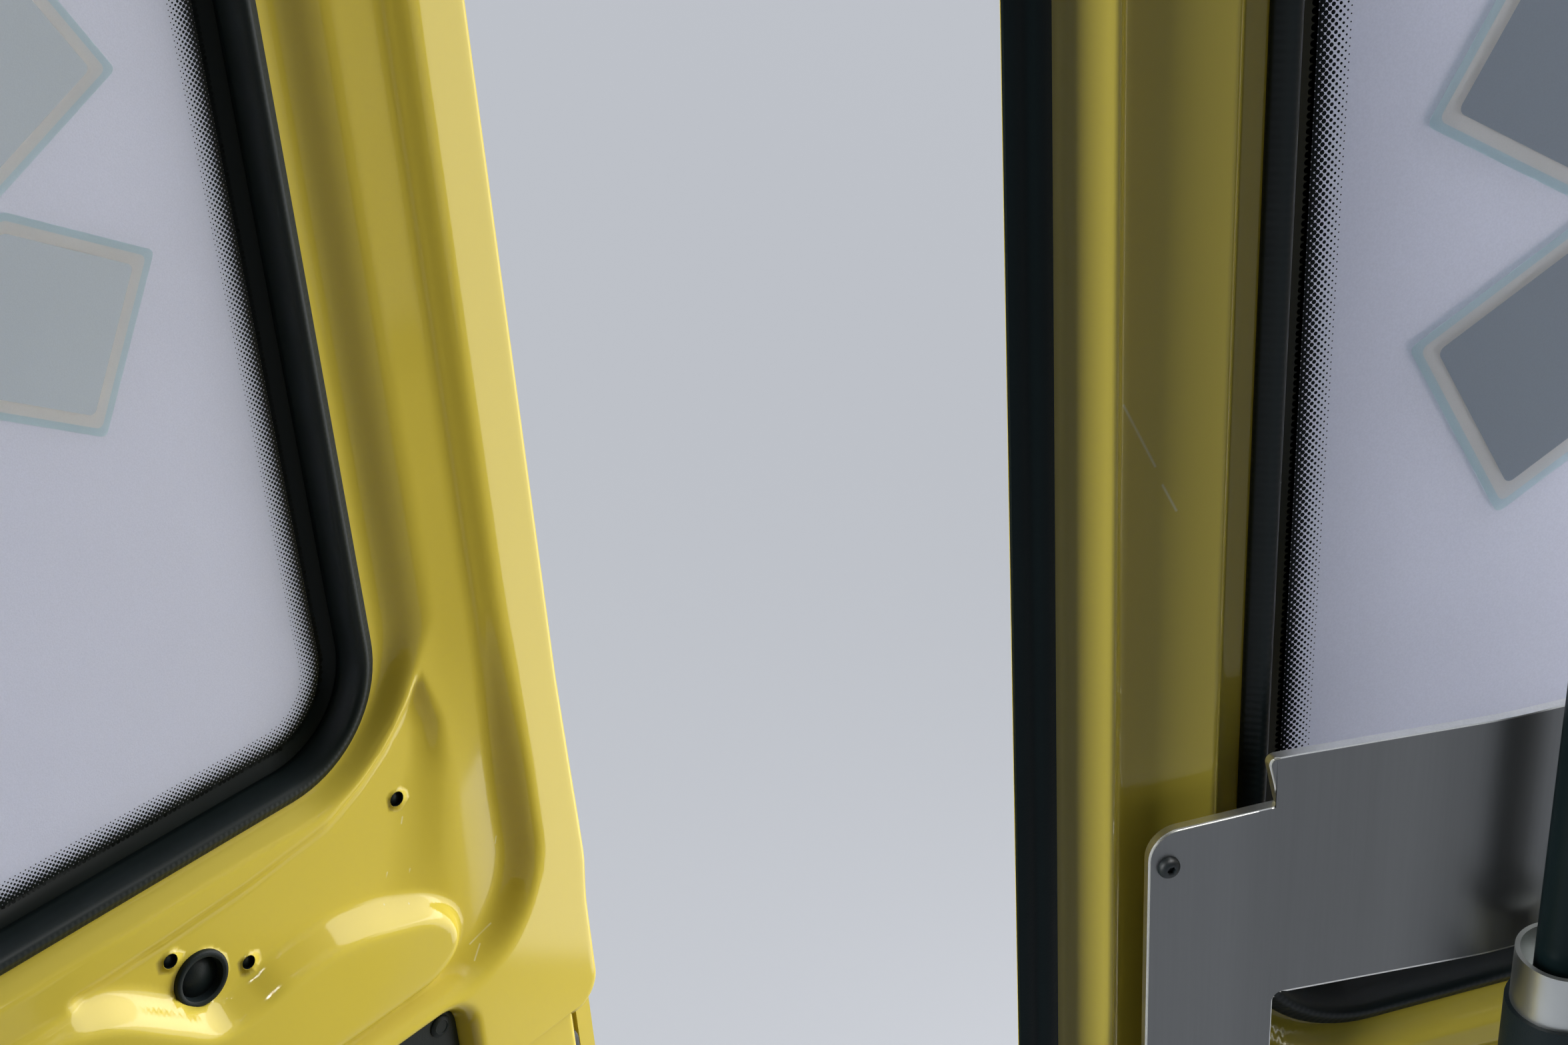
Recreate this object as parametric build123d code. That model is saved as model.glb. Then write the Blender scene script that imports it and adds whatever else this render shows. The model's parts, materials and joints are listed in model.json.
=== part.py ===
from build123d import *
import os

os.makedirs("parts", exist_ok=True)

# An ambulance's rear double doors in their door frame, millimetres. +Z is up, +Y is
# rearward, out of the vehicle, and X runs across it. The origin is the centre of the four
# bolt holes in the frame's forward face.

# Doorway between the frame's inner edges, and the beams round it
clear_width = 1526.0
clear_height = 1760.0
aperture_radius_top = 60.0
aperture_radius_bottom = 40.0
sill_height = 90.0
header_height = 110.0
pillar_width = 111.0
frame_corner_radius = 90.0
frame_edge_radius = 28.0
frame_depth = 60.0
landing_width = 26.0
seal_height = 8.5
leaf_gap = 6.0
bolt_inset_x = 42.0
bolt_inset_z = 45.0
bolt_hole_radius = 5.5
bolt_hole_depth = 30.0
tread_depth = 52.0
tread_thickness = 3.0

# Door leaf, closed: the outer skin lies in the plane Y = 0
leaf_thickness = 46.0
skin_thickness = 3.0
inner_gap = 10.0
free_corner_radius = 8.0
face_fold_radius = 4.0
seal_to_leaf = 5.5
left_open_angle = 32.9
active_skin_lap = 18.0
passive_skin_set = 2.0
hem_width = 12.0
hem_thickness = 3.0
swage_depth = 1.5
swage_inset = 62.0
swage_radius = 40.0

# Window: its rubber trim's outer outline, from the leaf's edges and the load floor
window_above_floor = 680.0
window_height = 640.0
window_margin = 104.0
window_radius = 66.0
trim_width = 14.0
trim_lap = 8.0
trim_rise = 6.0
glass_thickness = 5.0
glass_recess = 3.0
glass_lap = 12.0
glass_gap = 3.0
bond_gap = 0.3

# Pressings of the inner panel: depths below its face and distances from the free edge
step_depth = 26.0
step_margin = 10.0
step_margin_low = 2.0
step_taper = 32.0
step_fold = 3.0
channel_depth = 14.0
channel_edge = 46.0
channel_taper = 18.0
channel_top = 59.0
channel_fold = 5.0
pocket_depth = 20.0
pocket_taper = 40.0
recess_drop = 152.0
field_depth = 8.0
field_inset = 70.0
field_above = 34.0
field_radius = 40.0
lower_panel_drop = 171.0
lower_panel_height = 430.0
lower_panel_margin = 100.0
lower_panel_radius = 18.0
lower_panel_recess = 16.0
lower_panel_thickness = 4.0
lower_panel_fold = 10.0
lap_depth = 4.0

# Holes of the pressed channel
cap_radius = 16.0
cap_flange = 3.0
cap_u = 246.0
cap_drop = 63.0
# rows of: distance from the free edge, drop below the trim, radius
small_holes = [(259.5, 43.5, 4.2), (217.5, 72.0, 4.0), (109.0, 31.0, 4.5)]
small_hole_depth = 6.0

# Lock side of the active leaf and its mate
lock_drop = 229.0
lock_height = 300.0
lock_setback = 20.0
lock_corner = 17.0
lock_unit_height = 180.0
lock_unit_start = 12.0
lock_unit_near = 12.0
lock_unit_far = 5.0

# Hinges: three on each leaf, their pins outside the skins
pin_offset = 13.0
pin_stand = 20.0
pin_radius = 5.0
pin_clearance = 0.05
knuckle_radius = 11.0
knuckle_height = 34.0
knuckle_gap = 0.5
hinge_plate = 7.0
hinge_plate_width = 34.0
hinge_pad_width = 70.0
hinge_pad_height = 60.0
hinge_inset = 190.0
hinge_edge = 2.0

# Free-edge seal and bead of the passive leaf
edge_seal_width = 17.0
edge_seal_proud = 1.5
edge_seal_depth = 24.0
edge_seal_root = 6.0
groove_width = 8.4
groove_depth = 5.0

# Guard plate: flat flanges on the leaf, the band between them bent a little inward
guard_thickness = 4.0
guard_edge = 52.0
guard_inner = 105.0
guard_bend = 197.0
guard_rise = 9.0
guard_lean = 5.0
guard_step_z = 146.0
guard_top_z = 168.0
guard_bottom_z = 55.0
guard_leg_drop = 150.0
guard_radius = 12.0
guard_screw_radius = 4.5
guard_screw_inset = 8.0

# Grab pole with its socket and bright cup
pole_radius = 11.5
pole_u = 216.0
pole_stand = 37.0
pole_rise = 812.0
cup_radius = 19.0
cup_wall = 2.0
cup_rim_z = 69.0
cup_height = 25.0
cup_floor = 6.0
socket_radius = 21.0
socket_height = 62.0
bracket_start = 8.0
bracket_end = 30.0
bracket_top_z = 98.0
bracket_thickness = 3.0
foot_width = 44.0
foot_height = 64.0
foot_thickness = 6.0

# Outer handle of the active leaf
handle_length = 150.0
handle_height = 34.0
handle_reach = 40.0
handle_inset = 30.0
handle_bar = 16.0
bezel_margin = 16.0
bezel_thickness = 4.0
barrel_radius = 9.0
barrel_rise = 3.0

# Places worked out from the sizes above
ring_height = sill_height + clear_height + header_height
floor_z = sill_height - ring_height / 2
aperture_x = clear_width / 2
aperture_top = floor_z + clear_height
rebate_x = aperture_x + landing_width
rebate_top = aperture_top + landing_width + 2
rebate_bottom = floor_z - landing_width - 2
ring_x = aperture_x + pillar_width
leaf_x = rebate_x - leaf_gap
leaf_top = rebate_top - leaf_gap
leaf_bottom = rebate_bottom + leaf_gap
inner_face = -leaf_thickness
landing_y = inner_face - seal_to_leaf - seal_height
# The frame's forward face is the mounting plane, so everything is set back from it
frame_front = landing_y - frame_depth
shift_y = -frame_front
free_edge = inner_gap / 2
trim_x0 = free_edge + window_margin
trim_x1 = leaf_x - window_margin
trim_z0 = floor_z + window_above_floor
trim_z1 = trim_z0 + window_height
window_mid = (trim_x0 + trim_x1) / 2
pin_x = leaf_x + pin_offset
hinge_heights = [leaf_bottom + hinge_inset, (leaf_bottom + leaf_top) / 2, leaf_top - hinge_inset]
flange_face = inner_face + step_depth
channel_floor = inner_face + channel_depth
passive_edge = free_edge + edge_seal_width
pole_x = free_edge + pole_u
pole_y = inner_face - pole_stand


def outline(points):
    """Face in the X-Z plane from rows of x, z and corner radius."""
    face = make_face(Polyline(*[(x, z) for x, z, r in points], close=True))
    for x, z, radius in points:
        if radius > 0:
            corner = face.vertices().sort_by_distance(Vector(x, z, 0))[0]
            face = fillet(corner, radius)
    return face


def rounded(x0, x1, z0, z1, radii):
    """Rectangle with radii at its low-left, low-right, top-right and top-left corners."""
    corners = [(x0, z0), (x1, z0), (x1, z1), (x0, z1)]
    return outline([(x, z, r) for (x, z), r in zip(corners, radii)])


def between(face, y_near, y_far, taper=0.0):
    """Solid from the plane Y = y_far to the more inward plane Y = y_near."""
    return extrude(Plane.XZ.offset(-y_far) * face, y_far - y_near, taper=taper)


def upright(face, z0, z1):
    """Solid of a plan section between two heights."""
    return extrude(Pos(0, 0, z0) * face, z1 - z0)


def block(x0, x1, y0, y1, z0, z1):
    return Pos((x0 + x1) / 2, (y0 + y1) / 2, (z0 + z1) / 2) * Box(x1 - x0, y1 - y0, z1 - z0)


def rod(x, y, z0, z1, radius):
    return Pos(x, y, (z0 + z1) / 2) * Cylinder(radius, z1 - z0)


def cross_rod(x, z, y0, y1, radius):
    return Pos(x, (y0 + y1) / 2, z) * Rot(90, 0, 0) * Cylinder(radius, y1 - y0)


# Frame: a ring with a rebate for the leaves, parted where its panels meet
def door_frame():
    radii_outer = [frame_corner_radius] * 4
    bottom, top = aperture_radius_bottom, aperture_radius_top
    ring = between(rounded(-ring_x, ring_x, -ring_height / 2, ring_height / 2, radii_outer), frame_front, 0)
    rim = ring.faces().sort_by(Axis.Y)[-1].outer_wire().edges()
    ring = fillet(rim, frame_edge_radius)
    aperture = rounded(-aperture_x, aperture_x, floor_z, aperture_top, [bottom, bottom, top, top])
    lap = landing_width
    rebate_radii = [bottom + lap, bottom + lap, top + lap, top + lap]
    rebate = rounded(-rebate_x, rebate_x, rebate_bottom, rebate_top, rebate_radii)
    ring -= between(aperture, frame_front - 1, 1)
    ring -= between(rebate, landing_y, 1)
    for side in (-1, 1):
        for level in (-1, 1):
            x = side * (ring_x - bolt_inset_x)
            z = level * (ring_height / 2 - bolt_inset_z)
            ring -= cross_rod(x, z, frame_front - 1, frame_front + bolt_hole_depth, bolt_hole_radius)
    high_cut = aperture_top - top
    low_cut = floor_z + bottom
    reach = ring_x + 1
    front = frame_front - 1
    half = ring_height / 2 + 1
    return {
        "frame_header": ring & block(-reach, reach, front, 1, high_cut, half),
        "frame_sill": ring & block(-reach, reach, front, 1, -half, low_cut),
        "frame_pillar_left": ring & block(-reach, 0, front, 1, low_cut, high_cut),
        "frame_pillar_right": ring & block(0, reach, front, 1, low_cut, high_cut),
    }


def aperture_seal():
    bottom, top = aperture_radius_bottom, aperture_radius_top
    grow = 12.0
    outer = rounded(-aperture_x - grow, aperture_x + grow, floor_z - grow, aperture_top + grow,
                    [bottom + grow, bottom + grow, top + grow, top + grow])
    inner = rounded(-aperture_x, aperture_x, floor_z, aperture_top, [bottom, bottom, top, top])
    ring = between(outer - inner, landing_y, landing_y + seal_height)
    crown = ring.faces().sort_by(Axis.Y)[-1].edges()
    return fillet(crown, 3.5)


def sill_tread():
    half = aperture_x - aperture_radius_bottom
    plate = block(-half, half, frame_front, frame_front + tread_depth, floor_z, floor_z + tread_thickness)
    return plate


# One hinge, drawn for the passive side at +X
def hinge_frame_half(z):
    section = Pos(pin_x, pin_stand) * Circle(knuckle_radius)
    plate_x = pin_x + knuckle_radius - 2
    section += make_face(Polyline(
        (pin_x, pin_stand + knuckle_radius), (plate_x + 14, hinge_plate), (plate_x + hinge_plate_width, hinge_plate),
        (plate_x + hinge_plate_width, 0), (plate_x, 0), (pin_x, pin_stand - knuckle_radius), close=True))
    half = knuckle_height / 2
    solids = []
    for side in (-1, 1):
        low = z + side * (knuckle_height + knuckle_gap) - half
        arm = upright(section, low, low + knuckle_height)
        arm -= rod(pin_x, pin_stand, low - 1, low + knuckle_height + 1, pin_radius)
        outer = arm.edges().filter_by(Axis.Z).group_by(Axis.X)[-1]
        solids.append(fillet(outer, hinge_edge))
    return solids


def hinge_leaf_half(z):
    section = Pos(pin_x, pin_stand) * Circle(knuckle_radius)
    pad_x = leaf_x - 5
    section += make_face(Polyline(
        (pin_x, pin_stand + knuckle_radius), (pad_x - 12, hinge_plate), (pad_x - 12, 0),
        (pad_x - 6, 0), (pin_x - 4, pin_stand - knuckle_radius + 1), close=True))
    half = knuckle_height / 2
    arm = upright(section, z - half, z + half)
    pad = rounded(pad_x - hinge_pad_width, pad_x, z - hinge_pad_height / 2, z + hinge_pad_height / 2,
                  [12, 4, 4, 12])
    plate = between(pad, 0, hinge_plate)
    arm += fillet(plate.faces().sort_by(Axis.Y)[-1].edges(), hinge_edge)
    arm -= rod(pin_x, pin_stand, z - half - 1, z + half + 1, pin_radius + pin_clearance)
    return arm


def hinge_pin(z):
    reach = 1.5 * knuckle_height + knuckle_gap
    pin = rod(pin_x, pin_stand, z - reach, z + reach, pin_radius)
    pin += rod(pin_x, pin_stand, z + reach, z + reach + 3, pin_radius + 3)
    return pin


# Door leaf, drawn for the passive side at +X, closed
def leaf_outline(edge, inset):
    corner = free_corner_radius
    top = aperture_radius_top + landing_width - leaf_gap
    bottom = aperture_radius_bottom + landing_width - leaf_gap
    return rounded(edge, leaf_x - inset, leaf_bottom + inset, leaf_top - inset, [corner, bottom, top, corner])


def window_outline(grow):
    radius = window_radius + grow
    return rounded(trim_x0 - grow, trim_x1 + grow, trim_z0 - grow, trim_z1 + grow, [radius] * 4)


def leaf_points(points):
    """Rows of u, drop and radius as x, z and radius."""
    return [(free_edge + u, trim_z0 - drop, radius) for u, drop, radius in points]


def other_side(points):
    return [(2 * window_mid - x, z, radius) for x, z, radius in reversed(points)]


def step_outline():
    grow = step_margin
    radius = window_radius + grow
    return rounded(trim_x0 - grow, trim_x1 + grow, trim_z0 - step_margin_low, trim_z1 + grow, [radius] * 4)


# rows of: distance from the free edge, drop below the trim, corner radius
channel_rows = [
    (channel_edge, -(window_height + channel_top), 96.0),
    (channel_edge, recess_drop, 38.0),
    (108.0, recess_drop, 12.0),
    (86.0, 112.0, 22.0),
    (118.0, 82.0, 26.0),
    (252.0, 94.0, 20.0),
    (318.0, 36.0, 16.0),
]
pocket_rows = [
    (84.0, -33.0, 8.0),
    (76.0, 10.0, 40.0),
    (78.0, 58.0, 16.0),
    (116.0, 75.0, 24.0),
    (249.0, 87.0, 18.0),
    (301.0, 37.0, 3.0),
    (156.0, 18.0, 60.0),
    (108.0, 10.0, 26.0),
]


def channel_outline():
    near = leaf_points(channel_rows)
    return outline(near + other_side(near))


def pressing(face, depth, taper, floor_fold):
    """Tool for one pressed recess, exact at its floor, with a rolled edge round the floor."""
    tool = between(face, inner_face - 6, inner_face + depth, -taper)
    return fillet(tool.faces().sort_by(Axis.Y)[-1].edges(), floor_fold)


def edges_at(solid, y, inside):
    return [e for e in solid.edges() if abs(e.center().Y - y) < 0.01 and inside(e.center())]


def inner_panel(panel_outline):
    panel = between(panel_outline, inner_face, -skin_thickness)
    panel = fillet(panel.faces().sort_by(Axis.Y)[0].edges(), face_fold_radius)
    panel -= pressing(channel_outline(), channel_depth, channel_taper, 4.0)
    rim = edges_at(panel, inner_face, lambda c: trim_z0 - recess_drop - 9 < c.Z < trim_z1 + 90
                   and free_edge + 34 < c.X < leaf_x - 34)
    panel = fillet(rim, channel_fold)
    near = leaf_points(pocket_rows)
    for points in (near, other_side(near)):
        panel -= between(outline(points), inner_face - 1, inner_face + pocket_depth, -pocket_taper)
    panel -= between(step_outline(), inner_face - 1, flange_face, -step_taper)
    field = rounded(free_edge + field_inset, leaf_x - field_inset, trim_z1 + channel_top + field_above,
                    leaf_top - field_inset, [field_radius] * 4)
    panel -= pressing(field, field_depth, 30.0, 3.0)
    panel -= between(window_outline(-trim_lap), inner_face - 1, 1)
    glass_back = -(glass_recess + glass_thickness)
    panel -= between(window_outline(glass_lap + glass_gap), glass_back, 1)
    x0 = free_edge + lower_panel_margin
    x1 = leaf_x - lower_panel_margin
    z1 = trim_z0 - lower_panel_drop
    z0 = z1 - lower_panel_height
    pocket = rounded(x0, x1, z0, z1, [lower_panel_radius] * 4)
    panel -= between(pocket, inner_face - 1, inner_face + lower_panel_recess)
    rim = edges_at(panel, inner_face, lambda c: z0 - 0.1 < c.Z < z1 + 0.1 and x0 - 0.1 < c.X < x1 + 0.1)
    panel = fillet(rim, lower_panel_fold)
    panel -= cross_rod(free_edge + cap_u, trim_z0 - cap_drop, inner_face - 1, inner_face + pocket_depth + 8,
                       cap_radius - 2)
    for u, drop, radius in small_holes:
        floor = inner_face + pocket_depth
        panel -= cross_rod(free_edge + u, trim_z0 - drop, inner_face - 1, floor + small_hole_depth, radius)
    return panel


def outer_skin(edge):
    skin = between(leaf_outline(edge, 0), -skin_thickness, 0)
    skin -= between(window_outline(glass_lap + glass_gap), -skin_thickness - 1, 1)
    for z0, z1 in ((leaf_bottom + swage_inset, trim_z0 - swage_inset), (trim_z1 + swage_inset, leaf_top - swage_inset)):
        field = rounded(passive_edge + swage_inset, leaf_x - swage_inset - 40, z0, z1, [swage_radius] * 4)
        skin -= extrude(Plane.XZ * field, swage_depth, taper=45)
    return skin


def window_glass():
    front = -glass_recess
    return between(window_outline(glass_lap), front - glass_thickness, front)


def window_trim():
    glass_back = -(glass_recess + glass_thickness)
    face = between(window_outline(0) - window_outline(-trim_width), flange_face - trim_rise, flange_face)
    face = fillet(face.faces().sort_by(Axis.Y)[0].edges(), 2.5)
    edge = between(window_outline(-trim_lap) - window_outline(-trim_width), flange_face, glass_back - bond_gap)
    return face + edge


def lower_panel():
    slack = 1.0
    x0 = free_edge + lower_panel_margin + slack
    x1 = leaf_x - lower_panel_margin - slack
    z1 = trim_z0 - lower_panel_drop - slack
    z0 = trim_z0 - lower_panel_drop - lower_panel_height + slack
    floor = inner_face + lower_panel_recess
    return between(rounded(x0, x1, z0, z1, [lower_panel_radius - slack] * 4), floor - lower_panel_thickness, floor)


def blanking_cap():
    floor = inner_face + pocket_depth
    x, z = free_edge + cap_u, trim_z0 - cap_drop
    cap = cross_rod(x, z, floor - cap_flange, floor, cap_radius)
    cap = fillet(cap.edges().sort_by(Axis.Y)[0], 1.5)
    cap += cross_rod(x, z, floor, floor + 7, cap_radius - 2.3)
    cap -= cross_rod(x, z, floor - cap_flange - 1, floor + 4.5, cap_radius - 4)
    cap += cross_rod(x, z, floor + 3, floor + 4.6, 5)
    return cap


def left_inner_panel():
    low = leaf_bottom + 1.5
    high = leaf_top - 1.5
    side = leaf_x - 1.5
    corner = free_corner_radius
    top = aperture_radius_top + landing_width - leaf_gap
    bottom = aperture_radius_bottom + landing_width - leaf_gap
    # rows of: distance from the free edge, drop below the trim, corner radius
    edge_rows = leaf_points([
        (0.0, 0.0, 60.0), (-3.5, 125.0, 20.0), (-0.5, 160.0, 20.0), (-0.5, lock_drop, lock_corner),
        (lock_setback, lock_drop, 3.0), (lock_setback, lock_drop + lock_height, 6.0),
        (0.0, lock_drop + lock_height, 6.0)])
    face = outline([(free_edge, high, corner)] + edge_rows
                   + [(free_edge, low, corner), (side, low, bottom), (side, high, top)])
    panel = inner_panel(face)
    z1 = trim_z0 - lock_drop
    reach = free_edge + lower_panel_margin - lower_panel_fold - 4
    panel -= block(0, reach, inner_face - 1, inner_face + lap_depth, z1 - lock_height, z1)
    return panel


def right_inner_panel():
    panel = inner_panel(leaf_outline(passive_edge, 1.5))
    groove = block(passive_edge - 1, passive_edge + groove_width, inner_face - 1, inner_face + groove_depth,
                   leaf_bottom, leaf_top)
    panel -= groove
    edge = [e for e in panel.edges().filter_by(Axis.Z) if abs(e.center().Y - inner_face) < 0.01
            and abs(e.center().X - passive_edge - groove_width) < 0.01]
    return fillet(edge, 4.0)


def lock_unit():
    z1 = trim_z0 - lock_drop - 30
    unit = block(free_edge + lock_unit_start, free_edge + lock_setback, inner_face + lock_unit_near,
                 -skin_thickness - lock_unit_far, z1 - lock_unit_height, z1)
    return fillet(unit.edges().filter_by(Axis.Y).group_by(Axis.X)[0], 5)


def skin_hem():
    x0 = -active_skin_lap
    hem = block(x0, x0 + hem_width, -skin_thickness - hem_thickness, -skin_thickness,
                leaf_bottom + free_corner_radius, leaf_top - free_corner_radius)
    return hem


def edge_seal():
    lip = free_corner_radius
    front = inner_face - edge_seal_proud
    back = inner_face + edge_seal_depth
    plan = make_face(Polyline(
        (passive_edge, front), (free_edge + 3, front), (free_edge, front + 3),
        (passive_edge - edge_seal_root, back), (passive_edge, back), close=True))
    plan = fillet([v for v in plan.vertices() if v.X < passive_edge - 12], 1.4)
    return upright(plan, leaf_bottom + 1.5 + lip, leaf_top - 1.5 - lip)


def guard_outline():
    e, i, r = guard_edge, guard_inner, guard_radius
    # rows of: distance from the free edge, drop below the trim, corner radius
    near = leaf_points([(i + 2, -guard_bottom_z, 4.0), (i + 2, guard_leg_drop, 0.0), (e, guard_leg_drop, r),
                        (e, -guard_step_z, r), (i, -guard_step_z, 0.0), (i - guard_lean, -guard_top_z, 3.0)])
    return outline(near + other_side(near))


def guard_plate():
    # plan of the plate: rows of distance from the free edge and height off the leaf's face
    rows = [(guard_edge - 1, 0.0), (guard_inner, 0.0), (guard_bend, guard_rise)]
    line = [(free_edge + u, inner_face - rise) for u, rise in rows]
    line += [(2 * window_mid - x, y) for x, y in reversed(line)]
    front = [(x, y - guard_thickness) for x, y in reversed(line)]
    plan = make_face(Polyline(*(line + front), close=True))
    bends = [v for v in plan.vertices() if passive_edge + 60 < v.X < leaf_x - 60]
    plan = fillet(bends, 30)
    plate = upright(plan, trim_z0 - guard_leg_drop - 1, trim_z0 + guard_top_z + 1)
    return plate & between(guard_outline(), inner_face - 60, 0)


def guard_screws():
    screws = []
    face = inner_face - guard_thickness
    heights = [guard_step_z - 16, 10, -guard_leg_drop + 16]
    near = free_edge + guard_edge + guard_screw_inset
    for x in (near, 2 * window_mid - near):
        for z in heights:
            head = cross_rod(x, trim_z0 + z, face - 3, face, guard_screw_radius)
            screws.append(fillet(head.edges().sort_by(Axis.Y)[0], 2))
    return screws


def grab_pole():
    z0 = trim_z0 + cup_rim_z - cup_height + cup_floor
    return rod(pole_x, pole_y, z0, trim_z0 + pole_rise, pole_radius)


def pole_cup():
    z1 = trim_z0 + cup_rim_z
    z0 = z1 - cup_height
    cup = rod(pole_x, pole_y, z0, z1, cup_radius)
    return cup - rod(pole_x, pole_y, z0 + cup_floor, z1 + 1, cup_radius - cup_wall)


def pole_feet():
    # the socket below the cup, on a bracket bolted to the guard plate
    z1 = trim_z0 + cup_rim_z - cup_height
    z0 = z1 - socket_height
    plate_face = inner_face - guard_rise - guard_thickness
    socket = rod(pole_x, pole_y, z0, z1, socket_radius)
    socket = fillet(socket.edges().sort_by(Axis.Z)[0], 6)
    near, far = pole_x + bracket_start, pole_x + bracket_end
    socket += block(near, far, plate_face - bracket_thickness, plate_face, z0, trim_z0 + bracket_top_z)
    socket += block(pole_x, far, pole_y, plate_face, z0 + 4, z1 - 4)
    # the upper foot, on the pressed field above the window
    z = trim_z0 + pole_rise
    seat = inner_face + field_depth
    foot = rod(pole_x, pole_y, z, z + 30, pole_radius + 5)
    foot += block(pole_x - 11, pole_x + 11, pole_y, seat - foot_thickness, z + 2, z + 28)
    foot += block(pole_x - foot_width / 2, pole_x + foot_width / 2, seat - foot_thickness, seat,
                  z + 15 - foot_height / 2, z + 15 + foot_height / 2)
    return [socket, foot]


def outer_handle():
    z = trim_z0 - lock_drop - 60
    x0 = free_edge + handle_inset
    x1 = x0 + handle_length
    z0, z1 = z - handle_height / 2, z + handle_height / 2
    y0 = bezel_thickness
    y1 = handle_reach
    grip = block(x0, x1, y1 - handle_bar, y1, z0, z1)
    grip = fillet(grip.edges().filter_by(Axis.X), 6)
    for x in (x0, x1 - 18):
        grip += block(x, x + 18, y0, y1 - handle_bar + 2, z0 + 4, z1 - 4)
    return grip


def handle_bezel():
    z = trim_z0 - lock_drop - 60
    m = bezel_margin
    x0 = free_edge + handle_inset - m
    x1 = free_edge + handle_inset + handle_length + m
    plate = rounded(x0, x1, z - handle_height / 2 - m, z + handle_height / 2 + m, [12] * 4)
    bezel = between(plate, 0, bezel_thickness)
    bezel = fillet(bezel.faces().sort_by(Axis.Y)[-1].edges(), 2)
    barrel = cross_rod((x0 + x1) / 2, z, bezel_thickness - 1, bezel_thickness + barrel_rise, barrel_radius)
    return bezel + barrel


def place(solid, left, moving=True):
    """Sets a piece drawn for the right leaf in the frame, mirrored and swung for the left."""
    if left:
        solid = mirror(solid, Plane.YZ)
        if moving:
            axis = Axis((-pin_x, pin_stand, 0), (0, 0, 1))
            solid = solid.rotate(axis, left_open_angle)
    return Pos(0, shift_y, 0) * solid


def write(name, solids, left=False, moving=True):
    solids = solids if isinstance(solids, list) else [solids]
    placed = [place(solid, left, moving) for solid in solids]
    shape = placed[0] if len(placed) == 1 else Compound(children=placed)
    export_step(shape, os.path.join("parts", name + ".step"))


for name, solid in door_frame().items():
    write(name, solid)
write("aperture_seal", aperture_seal())
write("sill_tread", sill_tread())

for side, left in (("left", True), ("right", False)):
    frame_halves = [half for z in hinge_heights for half in hinge_frame_half(z)]
    write("hinge_frame_halves_" + side, frame_halves, left, moving=False)
    write("hinge_pins_" + side, [hinge_pin(z) for z in hinge_heights], left, moving=False)
    write(side + "_hinge_leaf_halves", [hinge_leaf_half(z) for z in hinge_heights], left)
    write(side + "_outer_skin", outer_skin(-active_skin_lap) + skin_hem() if left else outer_skin(passive_edge + passive_skin_set), left)
    write(side + "_window_glass", window_glass(), left)
    write(side + "_window_trim", window_trim(), left)
    write(side + "_lower_panel", lower_panel(), left)
    write(side + "_blanking_cap", blanking_cap(), left)

write("left_inner_panel", left_inner_panel(), left=True)
write("left_lock_unit", lock_unit(), left=True)
write("left_outer_handle", outer_handle(), left=True)
write("left_handle_bezel", handle_bezel(), left=True)
write("right_inner_panel", right_inner_panel())
write("right_edge_seal", edge_seal())
write("right_guard_plate", guard_plate())
write("right_guard_screws", guard_screws())
write("right_grab_pole", grab_pole())
write("right_pole_feet", pole_feet())
write("right_pole_cup", pole_cup())
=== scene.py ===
import json
import math
import bpy
import bmesh
import numpy as np
from mathutils import Matrix, Vector
from mathutils.geometry import delaunay_2d_cdt


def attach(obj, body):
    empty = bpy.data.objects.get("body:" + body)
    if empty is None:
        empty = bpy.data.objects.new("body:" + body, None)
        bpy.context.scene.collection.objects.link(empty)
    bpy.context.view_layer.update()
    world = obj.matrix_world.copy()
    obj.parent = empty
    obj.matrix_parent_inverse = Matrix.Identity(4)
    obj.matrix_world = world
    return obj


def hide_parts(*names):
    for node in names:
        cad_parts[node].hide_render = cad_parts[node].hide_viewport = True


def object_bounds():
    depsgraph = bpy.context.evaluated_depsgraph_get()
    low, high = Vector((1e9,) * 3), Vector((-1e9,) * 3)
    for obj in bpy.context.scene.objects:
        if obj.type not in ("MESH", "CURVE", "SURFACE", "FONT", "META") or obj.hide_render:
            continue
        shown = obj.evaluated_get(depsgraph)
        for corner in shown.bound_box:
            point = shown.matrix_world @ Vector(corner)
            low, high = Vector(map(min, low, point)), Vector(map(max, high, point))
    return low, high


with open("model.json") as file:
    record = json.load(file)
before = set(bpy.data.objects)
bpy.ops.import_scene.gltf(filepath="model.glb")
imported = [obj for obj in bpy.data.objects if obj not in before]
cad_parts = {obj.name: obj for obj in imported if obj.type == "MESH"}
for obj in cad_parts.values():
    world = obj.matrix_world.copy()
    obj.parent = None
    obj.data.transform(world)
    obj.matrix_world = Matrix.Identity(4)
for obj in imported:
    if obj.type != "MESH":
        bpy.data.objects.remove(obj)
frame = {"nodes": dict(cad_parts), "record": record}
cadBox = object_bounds()
scene = bpy.context.scene
print("frame loaded:", len(frame["nodes"]), "nodes")

# camera, floor and light

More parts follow.
